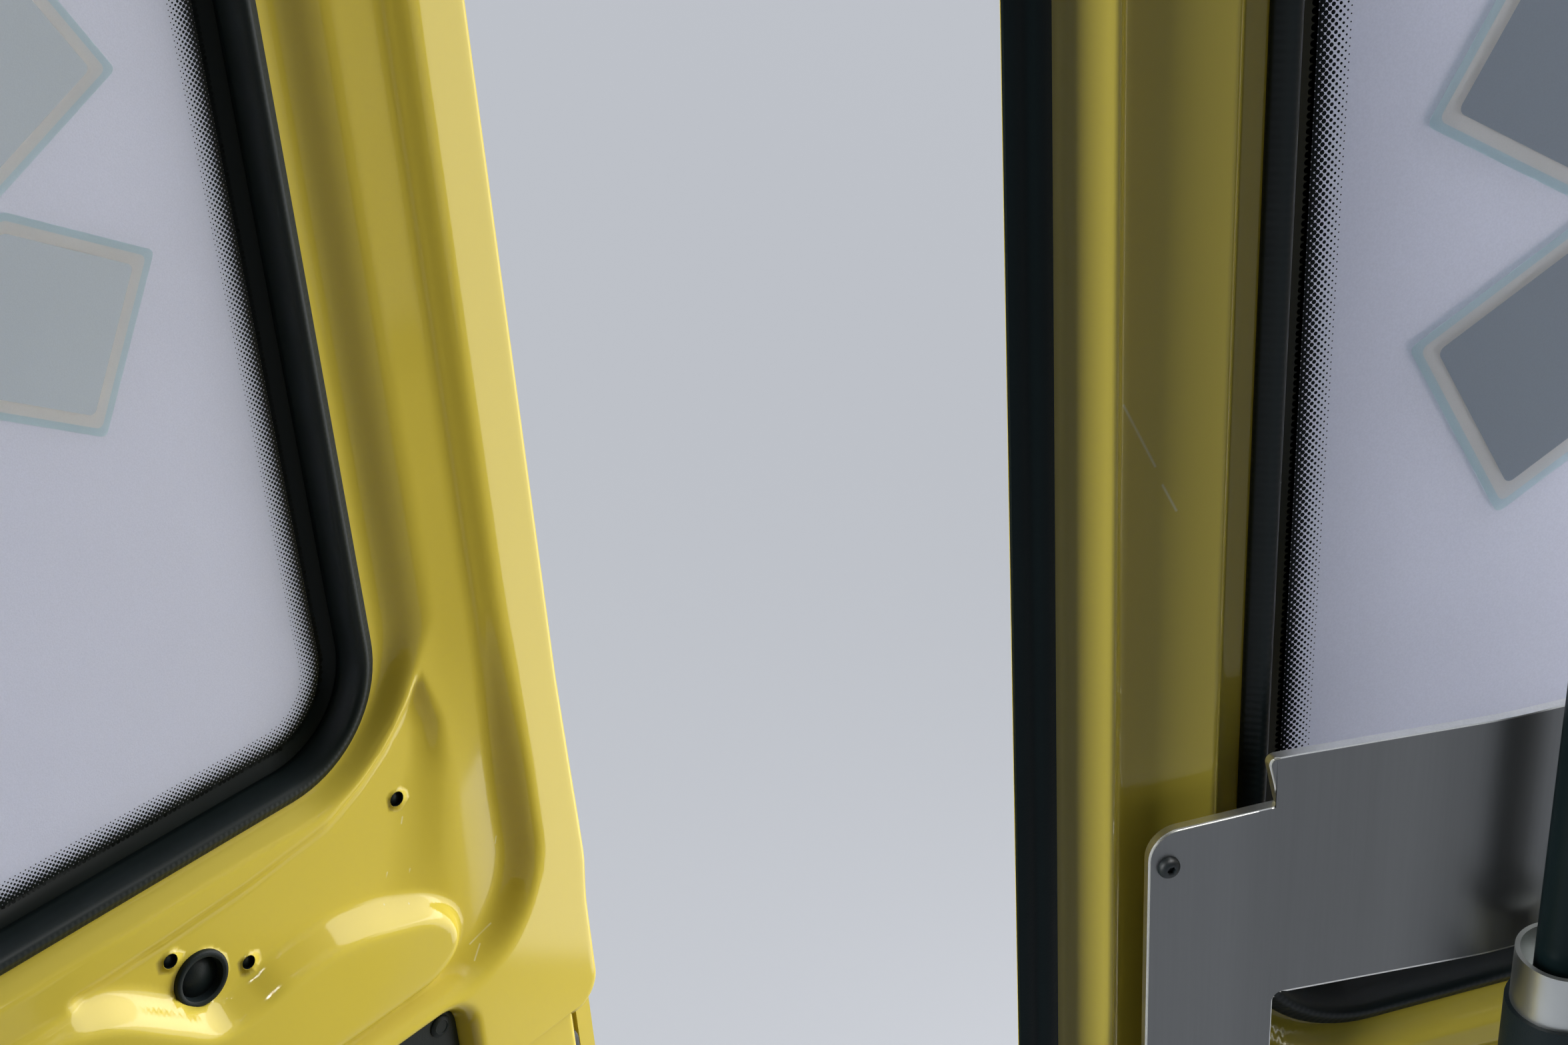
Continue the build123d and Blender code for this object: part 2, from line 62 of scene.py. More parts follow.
camera = {  # where the picture was taken from, in metres and degrees
    "place": (-0.228, -0.512, 0.406),
    "heading": 14.79,  # towards +X from straight out of the doorway
    "tiltDown": 27.28,
    "roll": 4.19,
    "focalPixels": 3148.0,  # of an image this wide
    "imageWidth": 2352.0,
    "sensorWidth": 36.0,  # millimetres
    "clipStart": 0.02,
}
studio = {
    "floorDrop": 1.0, "floorSize": 60.0, "floorRoughness": 0.8,
    "floorColour": (0.44, 0.45, 0.485),
    "floorBounce": (0.09, 0.09, 0.09),  # what the floor throws back on the doors
    "skyColour": (0.86, 0.93, 1.0),
    "skySide": (0.6, 0.8, 0.0),  # the side the daylight comes from
    "skyOutside": 0.85,  # the sky's level on that side, and on the one the camera stands
    "skyInside": 0.05,
    "skyTurn": (-0.1, 0.6),  # where it goes from one level to the other
    "sunDistance": 3.0,
    "suns": {  # towards the lamp, strength, width in degrees, colour
        "daylight": ((0.87, 0.21, 0.42), 2.6, 50.0, (1.0, 0.98, 0.94)),
        "cabinLight": ((-0.93, -0.125, 0.33), 4.5, 40.0, (0.96, 0.98, 1.0)),
    },
    "softBoxes": {  # place, target, size, power and whether it lights matt surfaces too
        "whiteCard": ((1.72, 0.66, -0.86), (0.0, 0.66, -0.86), (1.75, 2.1), 34.0, True),
        "ceiling": ((0.72, -0.42, 1.25), (-0.3, 0.3, -0.1), (0.5, 0.2), 22.0, False),
    },
}


class Wiring:  # a node tree, with short ways to add and join nodes
    def __init__(self, tree):
        self.tree = tree

    def add(self, kind, at=(0, 0), **settings):
        node = self.tree.nodes.new(kind)
        node.location = at
        for key, value in settings.items():
            if hasattr(node, key):
                setattr(node, key, value)
            else:
                node.inputs[key.replace("_", " ")].default_value = value
        return node

    def join(self, out, into):
        self.tree.links.new(out, into)

    def math(self, operation, at, *values, clamp=False):
        node = self.add("ShaderNodeMath", at, operation=operation, use_clamp=clamp)
        self.feed(node, values)
        return node.outputs[0]

    def vector(self, operation, at, *values):
        node = self.add("ShaderNodeVectorMath", at, operation=operation)
        self.feed(node, values)
        return node.outputs["Value"] if operation in ("LENGTH", "DOT_PRODUCT", "DISTANCE") else node.outputs[0]

    def feed(self, node, values):
        for slot, value in enumerate(values):
            if isinstance(value, bpy.types.NodeSocket):
                self.join(value, node.inputs[slot])
            elif value is not None:
                node.inputs[slot].default_value = value


def makeCamera():
    heading, pitch, roll = (math.radians(camera[k]) for k in ("heading", "tiltDown", "roll"))
    ahead = Vector((math.sin(heading) * math.cos(pitch), math.cos(heading) * math.cos(pitch), -math.sin(pitch)))
    right = Vector((math.cos(heading), -math.sin(heading), 0))
    down = ahead.cross(right)
    imageRight = right * math.cos(roll) + down * math.sin(roll)
    imageDown = down * math.cos(roll) - right * math.sin(roll)
    data = bpy.data.cameras.new("viewpoint")
    data.sensor_width = camera["sensorWidth"]
    data.lens = camera["focalPixels"] / camera["imageWidth"] * data.sensor_width
    data.clip_start = camera["clipStart"]
    obj = bpy.data.objects.new("viewpoint", data)
    turn = Matrix((imageRight, -imageDown, -ahead)).transposed().to_4x4()
    obj.matrix_world = Matrix.Translation(camera["place"]) @ turn
    scene.collection.objects.link(obj)
    scene.camera = obj


def addLamp(name, kind, place, target, colour, power):
    data = bpy.data.lights.new(name, kind)
    data.color = colour
    data.energy = power
    lamp = bpy.data.objects.new(name, data)
    lamp.location = place
    lamp.rotation_euler = (Vector(target) - Vector(place)).to_track_quat("-Z", "Y").to_euler()
    lamp.visible_camera = False
    scene.collection.objects.link(lamp)
    return data


def addLamps():
    for name, (towards, strength, width, colour) in studio["suns"].items():
        place = [studio["sunDistance"] * v for v in towards]
        addLamp(name, "SUN", place, (0, 0, 0), colour, strength).angle = math.radians(width)
    for name, (place, target, size, power, lightsMatt) in studio["softBoxes"].items():
        lamp = addLamp(name, "AREA", place, target, (1, 1, 1), power)
        bpy.data.objects[name].visible_diffuse = lightsMatt
        lamp.shape = "RECTANGLE"
        lamp.size, lamp.size_y = size


def makeSky():  # brighter outside the doorway than in
    world = bpy.data.worlds.new("studio")
    world.use_nodes = True
    wiring = Wiring(world.node_tree)
    coords = wiring.add("ShaderNodeTexCoord", (-700, 0))
    start, end = studio["skyTurn"]
    level = wiring.add("ShaderNodeMapRange", (-300, 0), interpolation_type="SMOOTHSTEP", From_Min=start,
                       From_Max=end, To_Min=studio["skyInside"], To_Max=studio["skyOutside"])
    background = world.node_tree.nodes["Background"]
    facing = wiring.vector("DOT_PRODUCT", (-500, 0), coords.outputs["Generated"], studio["skySide"])
    wiring.join(facing, level.inputs["Value"])
    path = wiring.add("ShaderNodeLightPath", (-500, 300))  # the backdrop itself is pale all round
    shown = wiring.math("MULTIPLY", (-300, 300), path.outputs["Is Camera Ray"], studio["skyOutside"])
    brightest = wiring.math("MAXIMUM", (-100, 100), shown, level.outputs["Result"])
    wiring.join(brightest, background.inputs["Strength"])
    background.inputs["Color"].default_value = (*studio["skyColour"], 1)
    scene.world = world


def addFloor():
    mat = bpy.data.materials.new("paleFloor")
    mat.use_nodes = True
    wiring = Wiring(mat.node_tree)
    bsdf = mat.node_tree.nodes["Principled BSDF"]
    bsdf.inputs["Roughness"].default_value = studio["floorRoughness"]
    path = wiring.add("ShaderNodeLightPath", (-900, 0))
    seen = wiring.math("MAXIMUM", (-650, 0), path.outputs["Is Camera Ray"], path.outputs["Is Glossy Ray"])
    seen = wiring.math("MAXIMUM", (-480, 0), seen, path.outputs["Is Transmission Ray"])
    colour = wiring.add("ShaderNodeMix", (-300, 0), data_type="RGBA")
    wiring.join(seen, colour.inputs[0])
    colour.inputs[6].default_value = (*studio["floorBounce"], 1)
    colour.inputs[7].default_value = (*studio["floorColour"], 1)
    wiring.join(colour.outputs[2], bsdf.inputs["Base Color"])
    height = cadBox[0][2] - studio["floorDrop"]
    bpy.ops.mesh.primitive_plane_add(size=studio["floorSize"], location=(0, 0, height))
    floor = bpy.context.object
    floor.name = "paleFloor"
    floor.data.materials.append(mat)


makeCamera()
scene.view_settings.view_transform = "Standard"
makeSky()
addLamps()
addFloor()
print("camera, lamps and floor placed")

# materials

# patch and grain count to the metre, tone, speckle and spread say how uneven the colour and the gloss are,
# depth is in metres, and shader holds what is set on the shader's own sockets
filmGrain = {"patch": 9.0, "grain": 1500.0, "tone": 0.1, "speckle": 0.12, "spread": 0.08, "bump": 0.1}
finishes = {
    "sulphurPaint": {
        "colour": (0.68, 0.55, 0.078), "roughness": 0.24, "patch": 5.0, "grain": 260.0, "tone": 0.07,
        "spread": 0.06, "bump": 0.05, "depth": 0.0006,
        "shader": {"Specular IOR Level": 0.0, "Coat Weight": 0.68, "Coat Roughness": 0.08}},
    "blackRubber": {
        "colour": (0.003, 0.008, 0.009), "roughness": 0.5, "patch": 30.0, "tone": 0.5, "spread": 0.14,
        "bump": 0.25, "depth": 0.0004, "shader": {"Specular IOR Level": 0.1}},
    "ribbedRubber": {
        "colour": (0.003, 0.008, 0.009), "roughness": 0.5, "patch": 30.0, "tone": 0.5, "spread": 0.14,
        "shader": {"Specular IOR Level": 0.28}},
    "blackPlastic": {
        "colour": (0.005, 0.010, 0.012), "roughness": 0.5, "patch": 22.0, "grain": 1400.0, "tone": 0.4,
        "bump": 0.35, "shader": {"Specular IOR Level": 0.2}},
    "frostedGlass": {
        "colour": (0.72, 0.735, 0.83), "roughness": 0.55, "patch": 3.0, "grain": 1300.0, "tone": 0.10,
        "speckle": 0.22, "spread": 0.05, "bump": 0.2, "depth": 0.0002,
        "shader": {"Transmission Weight": 0.6, "IOR": 1.3}},
    "filmFill": {
        "colour": (0.57, 0.64, 0.74), "roughness": 0.5, **filmGrain,
        "shader": {"Transmission Weight": 0.25, "IOR": 1.3}},
    "filmBorder": {
        "colour": (0.97, 0.96, 0.92), "roughness": 0.3, **filmGrain,
        "shader": {"Transmission Weight": 0.8, "IOR": 1.3}},
    "filmLine": {
        "colour": (0.78, 0.90, 0.92), "roughness": 0.3, **filmGrain,
        "shader": {"Transmission Weight": 0.8, "IOR": 1.3}},
    "fritInk": {
        "colour": (0.003, 0.006, 0.006), "roughness": 0.4, "spread": 0.05,
        "shader": {"Specular IOR Level": 0.12}},
    "brushedAluminium": {
        "colour": (0.19, 0.195, 0.195), "roughness": 0.36, "patch": 13.0, "grain": 700.0, "tone": 0.7,
        "speckle": 0.1, "spread": 0.16, "bump": 0.12, "depth": 0.0001, "drawn": (1.0, 1.0, 0.02),
        "shader": {"Metallic": 1.0}},
    "cutEdge": {
        "colour": (0.78, 0.78, 0.74), "roughness": 0.3, "patch": 80.0, "grain": 1200.0, "speckle": 0.2,
        "bump": 0.1, "shader": {"Metallic": 1.0}},
    "treadAluminium": {
        "colour": (0.48, 0.48, 0.47), "roughness": 0.34, "patch": 60.0, "grain": 700.0, "tone": 0.22,
        "speckle": 0.1, "spread": 0.16, "bump": 0.2, "depth": 0.0001, "drawn": (0.02, 1.0, 1.0),
        "shader": {"Metallic": 1.0}},
    "pinSteel": {
        "colour": (0.30, 0.31, 0.32), "roughness": 0.3, "patch": 40.0, "spread": 0.15, "bump": 0.1,
        "shader": {"Metallic": 1.0}},
    "darkScrew": {
        "colour": (0.005, 0.010, 0.012), "roughness": 0.5, "patch": 60.0, "grain": 1200.0, "tone": 0.3,
        "bump": 0.1},
    "darkTube": {
        "colour": (0.003, 0.008, 0.009), "roughness": 0.42, "patch": 30.0, "grain": 1100.0, "tone": 0.4,
        "spread": 0.12, "bump": 0.15, "shader": {"Specular IOR Level": 0.12}},
    "satinCup": {
        "colour": (0.55, 0.57, 0.56), "roughness": 0.34, "patch": 40.0, "tone": 0.25, "spread": 0.15,
        "bump": 0.08, "shader": {"Metallic": 1.0}},
}
trimRibs = {"outerShare": 0.42, "grainShare": 0.4, "bump": 0.12, "depth": 0.0004}


def socket(tree, label, direction, kind, value=None):
    made = tree.interface.new_socket(label, in_out=direction, socket_type="NodeSocket" + kind)
    if value is not None:
        made.default_value = value


def makeGrainGroup():  # uneven colour, roughness and height, from two sizes of noise
    tree = bpy.data.node_groups.new("surfaceGrain", "ShaderNodeTree")
    socket(tree, "Vector", "INPUT", "Vector")
    socket(tree, "Color", "INPUT", "Color", (0.5, 0.5, 0.5, 1))
    for label, value in (("Patch Size", 8.0), ("Grain Size", 900.0), ("Tone", 0.06), ("Speckle", 0.0),
                         ("Roughness", 0.3), ("Roughness Spread", 0.08)):
        socket(tree, label, "INPUT", "Float", value)
    socket(tree, "Color", "OUTPUT", "Color")
    socket(tree, "Roughness", "OUTPUT", "Float")
    socket(tree, "Height", "OUTPUT", "Float")
    wiring = Wiring(tree)
    given = wiring.add("NodeGroupInput", (-900, 0)).outputs
    result = wiring.add("NodeGroupOutput", (700, 0)).inputs
    patch = wiring.add("ShaderNodeTexNoise", (-600, 200), Detail=4.0)
    grain = wiring.add("ShaderNodeTexNoise", (-600, -200), Detail=2.0)
    for noise, label in ((patch, "Patch Size"), (grain, "Grain Size")):
        wiring.join(given["Vector"], noise.inputs["Vector"])
        wiring.join(given[label], noise.inputs["Scale"])
    broad = wiring.math("SUBTRACT", (-380, 200), patch.outputs["Fac"], 0.5)
    fine = wiring.math("SUBTRACT", (-380, -200), grain.outputs["Fac"], 0.5)
    tone = wiring.math("MULTIPLY_ADD", (-200, 200), broad, given["Tone"], 1.0)
    tone = wiring.math("MULTIPLY_ADD", (-20, 200), fine, given["Speckle"], tone)
    tint = wiring.add("ShaderNodeVectorMath", (160, 200), operation="SCALE")
    wiring.join(given["Color"], tint.inputs[0])
    wiring.join(tone, tint.inputs["Scale"])
    wiring.join(tint.outputs[0], result["Color"])
    rough = wiring.math("MULTIPLY_ADD", (60, 0), broad, given["Roughness Spread"], given["Roughness"])
    wiring.join(rough, result["Roughness"])
    wiring.join(grain.outputs["Fac"], result["Height"])
    return tree


def makeScratchGroup():  # one fine straight scratch between two points
    tree = bpy.data.node_groups.new("fineScratch", "ShaderNodeTree")
    for label in ("Vector", "Start", "End"):
        socket(tree, label, "INPUT", "Vector")
    socket(tree, "Width", "INPUT", "Float", 0.0003)
    socket(tree, "Mask", "OUTPUT", "Float")
    wiring = Wiring(tree)
    given = wiring.add("NodeGroupInput", (-900, 0)).outputs
    result = wiring.add("NodeGroupOutput", (700, 0)).inputs
    fromStart = wiring.vector("SUBTRACT", (-700, 100), given["Vector"], given["Start"])
    run = wiring.vector("SUBTRACT", (-700, -100), given["End"], given["Start"])
    along = wiring.vector("DOT_PRODUCT", (-500, 100), fromStart, run)
    length = wiring.vector("DOT_PRODUCT", (-500, -100), run, run)
    share = wiring.math("DIVIDE", (-320, 0), along, length, clamp=True)
    reach = wiring.add("ShaderNodeVectorMath", (-140, 0), operation="SCALE")
    wiring.join(run, reach.inputs[0])
    wiring.join(share, reach.inputs["Scale"])
    gap = wiring.vector("DISTANCE", (60, 0), fromStart, reach.outputs[0])
    inner = wiring.math("DIVIDE", (220, 0), gap, given["Width"])
    mask = wiring.math("SUBTRACT", (380, 0), 1.0, inner, clamp=True)
    wiring.join(mask, result["Mask"])
    return tree


grainGroup = makeGrainGroup()
scratchGroup = makeScratchGroup()


class Finish:  # a new material whose colour, roughness and height come from the grain group
    def __init__(self, name, colour, roughness, patch=20.0, grain=900.0, tone=0.2, speckle=0.0, spread=0.1,
                 bump=0.0, depth=0.0003, drawn=None, shader=None):
        self.mat = bpy.data.materials.new(name)
        self.mat.use_nodes = True
        self.wiring = Wiring(self.mat.node_tree)
        self.bsdf = self.mat.node_tree.nodes["Principled BSDF"]
        for label, value in (shader or {}).items():
            self.bsdf.inputs[label].default_value = value
        self.coords = self.wiring.add("ShaderNodeTexCoord", (-1100, 0)).outputs["Object"]
        vector = self.coords
        if drawn:  # grain drawn out along one axis
            stretched = self.wiring.add("ShaderNodeMapping", (-900, 0), Scale=drawn)
            self.wiring.join(self.coords, stretched.inputs["Vector"])
            vector = stretched.outputs[0]
        self.grain = self.wiring.add("ShaderNodeGroup", (-700, 0), node_tree=grainGroup)
        self.wiring.join(vector, self.grain.inputs["Vector"])
        for label, value in (("Color", (*colour, 1)), ("Patch Size", patch), ("Grain Size", grain), ("Tone", tone),
                             ("Speckle", speckle), ("Roughness", roughness), ("Roughness Spread", spread)):
            self.grain.inputs[label].default_value = value
        self.wiring.join(self.grain.outputs["Color"], self.bsdf.inputs["Base Color"])
        self.wiring.join(self.grain.outputs["Roughness"], self.bsdf.inputs["Roughness"])
        if bump:
            self.relief(self.grain.outputs["Height"], bump, depth)

    def relief(self, height, strength, distance):
        node = self.wiring.add("ShaderNodeBump", (-300, -300), Strength=strength, Distance=distance)
        self.wiring.join(height, node.inputs["Height"])
        self.wiring.join(node.outputs["Normal"], self.bsdf.inputs["Normal"])


def makeFinish(name):
    return Finish(name, **finishes[name])


def ribbedRubber():  # fine cross ribs along the outer half of the window trim
    made = makeFinish("ribbedRubber")
    wiring = made.wiring
    uv = wiring.add("ShaderNodeUVMap", (-1100, -400), uv_map="alongTrim")
    axes = wiring.add("ShaderNodeSeparateXYZ", (-900, -400))
    wiring.join(uv.outputs[0], axes.inputs[0])
    turns = wiring.math("MULTIPLY", (-720, -400), axes.outputs["X"], 2 * math.pi)
    wave = wiring.math("SINE", (-560, -400), turns)
    outer = wiring.math("LESS_THAN", (-560, -560), axes.outputs["Y"], trimRibs["outerShare"])
    ribs = wiring.math("MULTIPLY", (-420, -400), wave, outer)
    grain = made.grain.outputs["Height"]
    relief = wiring.math("MULTIPLY_ADD", (-300, -480), grain, trimRibs["grainShare"], ribs)
    made.relief(relief, trimRibs["bump"], trimRibs["depth"])
    return made.mat


paint = makeFinish("sulphurPaint")
finishOfSlot = {
    "black_rubber": "blackRubber", "black_plastic": "blackPlastic", "frosted_glass": "frostedGlass",
    "brushed_aluminium": "brushedAluminium", "tread_aluminium": "treadAluminium", "pin_steel": "pinSteel",
    "dark_screw": "darkScrew", "dark_tube": "darkTube", "bright_collar": "satinCup",
}
materials = {slot: makeFinish(name).mat for slot, name in finishOfSlot.items()}
materials["body_paint"] = paint.mat
trimRubber = ribbedRubber()
fritInk, cutEdge = (makeFinish(name).mat for name in ("fritInk", "cutEdge"))
for sub in frame["record"]["subparts"]:
    node = frame["nodes"][sub["node"]]
    node.data.materials.clear()
    node.data.materials.append(materials[sub["material_slot"]])
print("materials made:", len(bpy.data.materials))

# the leaves are drawn closed on the right, in millimetres: x from the doorway's middle, y outwards
# from the outer skin, z up

leaf = {
    "freeEdge": 5.0, "hingeEdge": 783.0, "top": 892.0, "bottom": -912.0, "inset": 1.5,
    "face": -46.0, "back": -3.0,
    "trimX": (109.0, 679.0), "trimZ": (-210.0, 430.0), "windowRadius": 66.0,
    "pin": (796.0, 20.0), "openAngle": 32.9, "setBack": 120.0,
    "passiveEdge": 22.0,
}
midX = sum(leaf["trimX"]) / 2
trimLow = leaf["trimZ"][0]
blackPlastic = materials["black_plastic"]
bodies = {"left": "left_leaf", "right": "right_leaf", "frame": "door_frame"}


def toPart(points, side):  # the drawing's millimetres to metres on the part, where the left leaf stands open
    p = np.array(points, dtype=float).reshape(-1, 3)
    if side == "left":
        turn = math.radians(leaf["openAngle"])
        x = leaf["pin"][0] - p[:, 0]
        y = p[:, 1] - leaf["pin"][1]
        p[:, 0] = math.cos(turn) * x - math.sin(turn) * y - leaf["pin"][0]
        p[:, 1] = math.sin(turn) * x + math.cos(turn) * y + leaf["pin"][1]
    p[:, 1] += leaf["setBack"]
    return p / 1000


def turnToPart(direction, side):
    ends = toPart([(0, 0, 0), direction], side)
    return Vector(ends[1] - ends[0]).normalized()


def addObject(name, mesh):
    obj = bpy.data.objects.new(name, mesh)
    scene.collection.objects.link(obj)
    return obj


def makePiece(name, points, faces, side, mats, smooth=True, closed=True, slots=None):
    mesh = bpy.data.meshes.new(name)
    if side == "left":  # it is the drawing's mirror image, which turns the faces round
        faces = [tuple(reversed(f)) for f in faces]
    mesh.from_pydata(toPart(points, side).tolist(), [], faces)
    for mat in mats:
        mesh.materials.append(mat)
    if slots:
        mesh.polygons.foreach_set("material_index", slots)
    mesh.polygons.foreach_set("use_smooth", [smooth] * len(mesh.polygons))
    shape = bmesh.new()
    shape.from_mesh(mesh)
    bmesh.ops.delete(shape, geom=[v for v in shape.verts if not v.link_faces], context="VERTS")
    if closed:
        bmesh.ops.remove_doubles(shape, verts=shape.verts, dist=1e-6)
        bmesh.ops.recalc_face_normals(shape, faces=shape.faces)
    shape.to_mesh(mesh)
    shape.free()
    return addObject(name, mesh)


def dress(piece, side, slot, *nodes):  # hands a finished piece to its body
    body = bodies[side]
    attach(piece, body)
    if nodes:
        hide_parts(*nodes)


def edgeSharp(piece, degrees):  # smooth shading, broken at the corners
    limit = math.radians(degrees)
    shape = bmesh.new()
    shape.from_mesh(piece.data)
    for edge in shape.edges:
        if len(edge.link_faces) == 2 and edge.calc_face_angle() > limit:
            edge.smooth = False
    shape.to_mesh(piece.data)
    shape.free()
    return piece


def roundedPath(rows, turn=6.0):  # corner rows of x, z and radius to points along the rounded outline
    path = []
    count = len(rows)
    for i, (x, z, radius) in enumerate(rows):
        corner = np.array((x, z))
        before = np.array(rows[i - 1][:2]) - corner
        after = np.array(rows[(i + 1) % count][:2]) - corner
        before /= np.linalg.norm(before)
        after /= np.linalg.norm(after)
        opening = math.acos(np.clip(before @ after, -1, 1))
        sweep = math.pi - opening
        if radius <= 0 or sweep < 0.01:
            path.append(corner)
            continue
        reach = radius / math.tan(opening / 2)
        centre = corner + (before + after) / np.linalg.norm(before + after) * radius / math.sin(opening / 2)
        start = corner + before * reach - centre
        steps = max(2, math.ceil(math.degrees(sweep) / turn))
        sign = 1.0 if before[0] * after[1] - before[1] * after[0] < 0 else -1.0
        for k in range(steps + 1):
            a = sign * sweep * k / steps
            path.append(centre + np.array((start[0] * math.cos(a) - start[1] * math.sin(a),
                                           start[0] * math.sin(a) + start[1] * math.cos(a))))
    return np.array(path)


def rectRows(x0, x1, z0, z1, radius):  # corner rows of a rectangle
    return [(x0, z0, radius), (x1, z0, radius), (x1, z1, radius), (x0, z1, radius)]


def windowRows(grow):  # and of the window trim's outline
    (x0, x1), (z0, z1) = leaf["trimX"], leaf["trimZ"]
    return rectRows(x0 - grow, x1 + grow, z0 - grow, z1 + grow, leaf["windowRadius"] + grow)


def smoothLine(knots, spacing=3.0):  # a smooth open line through the knots
    knots = np.array(knots, dtype=float)
    ends = np.vstack((2 * knots[0] - knots[1], knots, 2 * knots[-1] - knots[-2]))
    line = []
    for a, b, c, d in zip(ends, ends[1:], ends[2:], ends[3:]):
        count = max(2, math.ceil(np.linalg.norm(c - b) / spacing))
        for k in range(count):
            t = k / count
            line.append(0.5 * (2 * b + (c - a) * t + (2 * a - 5 * b + 4 * c - d) * t ** 2
                               + (3 * b - a - 3 * c + d) * t ** 3))
    return np.array(line + [knots[-1]])


def insideDistance(x, z, path):  # distance to the outline, positive inside it
    best = np.full(x.shape, 1e9)
    inside = np.zeros(x.shape, dtype=bool)
    for a, b in zip(path, np.roll(path, -1, axis=0)):
        run = b - a
        length = run @ run
        if length < 1e-9:
            continue
        t = np.clip(((x - a[0]) * run[0] + (z - a[1]) * run[1]) / length, 0, 1)
        best = np.minimum(best, (x - a[0] - t * run[0]) ** 2 + (z - a[1] - t * run[1]) ** 2)
        if a[1] != b[1]:
            crosses = (a[1] > z) != (b[1] > z)
            inside ^= crosses & (x < a[0] + (z - a[1]) * run[0] / run[1])
    return np.where(inside, 1, -1) * np.sqrt(best)


def softMax(a, b, soft):  # the larger of two heights, rounded where they meet
    h = np.maximum(soft - np.abs(a - b), 0) / soft
    return np.maximum(a, b) + h * h * soft / 4


def softMin(a, b, soft):
    return -softMax(-a, -b, soft)


def ease(value, start, end):  # from 0 at the start to 1 at the end
    t = np.clip((value - start) / (end - start), 0, 1)
    return t * t * (3 - 2 * t)


def ringFaces(rings, count, base=0, closed=False):  # four-sided faces from each ring of points to the next
    made = []
    for ring in range(rings if closed else rings - 1):
        here, there = base + ring * count, base + (ring + 1) % rings * count
        for k in range(count):
            n = (k + 1) % count
            made.append((here + k, here + n, there + n, there + k))
    return made


# pressed inner panels

pressing = {  # distances run from the free edge and drops down from the trim's lower edge
    "channelDepth": 14.0, "channelSlope": {"left": (0.8, 1.05), "right": (2.4, 1.05)},
    "channelFall": {"left": (7.0, 0.2), "right": (14.0, 0.0)},
    "channelTurn": (-70.0, 60.0),  # where it goes from beside the window to below it
    "channelRows": [(46.0, -699.0, 96.0), (46.0, 150.0, 58.0), (700.0, 150.0, 0.0), (700.0, -699.0, 0.0)],
    "channelSoft": 6.0, "channelFloorSoft": 3.0, "channelReach": 8.0,
    "stepDepth": 26.0, "stepSlope": {"left": (0.85, 1.5), "right": (2.4, 1.5)},
    "stepSoft": {"left": (7.0, 3.0), "right": (2.6, 3.0)}, "stepTurn": (-75.0, -15.0),
    "stepBeside": 10.0, "stepBelow": 2.0, "stepCorner": 76.0,
    "pocketDepth": 6.0, "pocketSofts": (1.2, 2.0, 3.0, 1.6),  # at its top, its end, its floor and its rim
    "pocketRight": ((-41.0, 85.0), (-5.0, 75.5), (24.0, 76.0), (63.0, 81.0), (94.0, 84.0), (150.0, 88.0)),
    "pocketRamp": ((-41.0, 0.9), (-15.0, 0.55), (30.0, 0.26), (94.0, 0.16)),
    "pocketTop": ((80.0, -48.0), (93.0, -28.0), (113.0, -9.5), (132.0, 3.0), (157.0, 15.0), (210.0, 21.5),
                  (262.0, 24.4), (320.0, 26.0)),
    "pocketTopSlope": 0.8, "pocketEnd": 317.0, "pocketEndSlope": 0.9,
    "pocketStart": (48.0, 70.0), "pocketLow": 160.0, "pocketLowRoll": 12.0,
    "padLevel": 4.0, "padMiddle": 12.0, "padSlope": 1.3, "padSoft": 4.5, "padBlend": 4.0,
    "padLine": [(700, 152), (200, 152), (135, 151.5), (112, 150), (95, 141), (88.5, 128), (92.5, 113), (106, 101),
                (130, 91.5), (152, 84.5), (175, 80.5), (203, 81.5), (226, 86), (246, 85.5), (266, 70), (291, 49),
                (309, 39), (330, 34), (389, 33), (700, 33)],
    "field": (75.0, 713.0, 523.0, 822.0, 40.0), "fieldDepth": 8.0, "fieldSlope": 1.4, "fieldSoft": 4.0,
    "opening": (105.0, 683.0, -811.0, -381.0, 18.0), "openingRoll": 10.0, "openingDepth": 16.0, "openingSlope": 5.0,
    "windowCut": 7.0,  # how far inside the trim's outline the sheet ends
    "fold": 4.0, "foldTurns": (22, 45, 68, 90), "sealReach": 0.5,
    "grooveDepth": 8.0, "grooveWidth": 6.5, "beadWidth": 17.0, "beadCurve": 0.75, "beadShare": 0.85,
    "lipWidth": 4.0, "lipShare": 0.15,
    "lapDrop": 229.0, "lapDepth": 4.0, "lapRise": 2.0, "lapEnd": 91.0, "lapRoll": 14.0, "lapSoft": 0.6,
    "notchHeight": 300.0, "notchSetback": 20.0, "notchCorner": 17.0,
    "edgeLine": ((0.0, 0.0), (60.0, -1.6), (95.0, -2.7), (122.0, -3.4), (130.0, -3.3), (150.0, -1.2),
                 (160.0, -0.6), (170.0, -0.5)),  # how far the active leaf's edge stands out at each drop
    "hingeCorners": (80.0, 60.0), "freeCorner": 8.0,  # above and below, then both
}
sheetHoles = {
    "small": [(259.5, 43.5, 4.2), (217.5, 72.0, 4.0), (109.0, 31.0, 4.5)],  # distance, drop and radius
    "cap": (246.0, 63.0, 14.0),
    "depth": 2.2, "sides": 28, "clearing": 3.0,
    "wall": ((1.0, 0.0), (0.97, 0.12), (0.955, 0.6)),  # share of the radius, and how deep
}
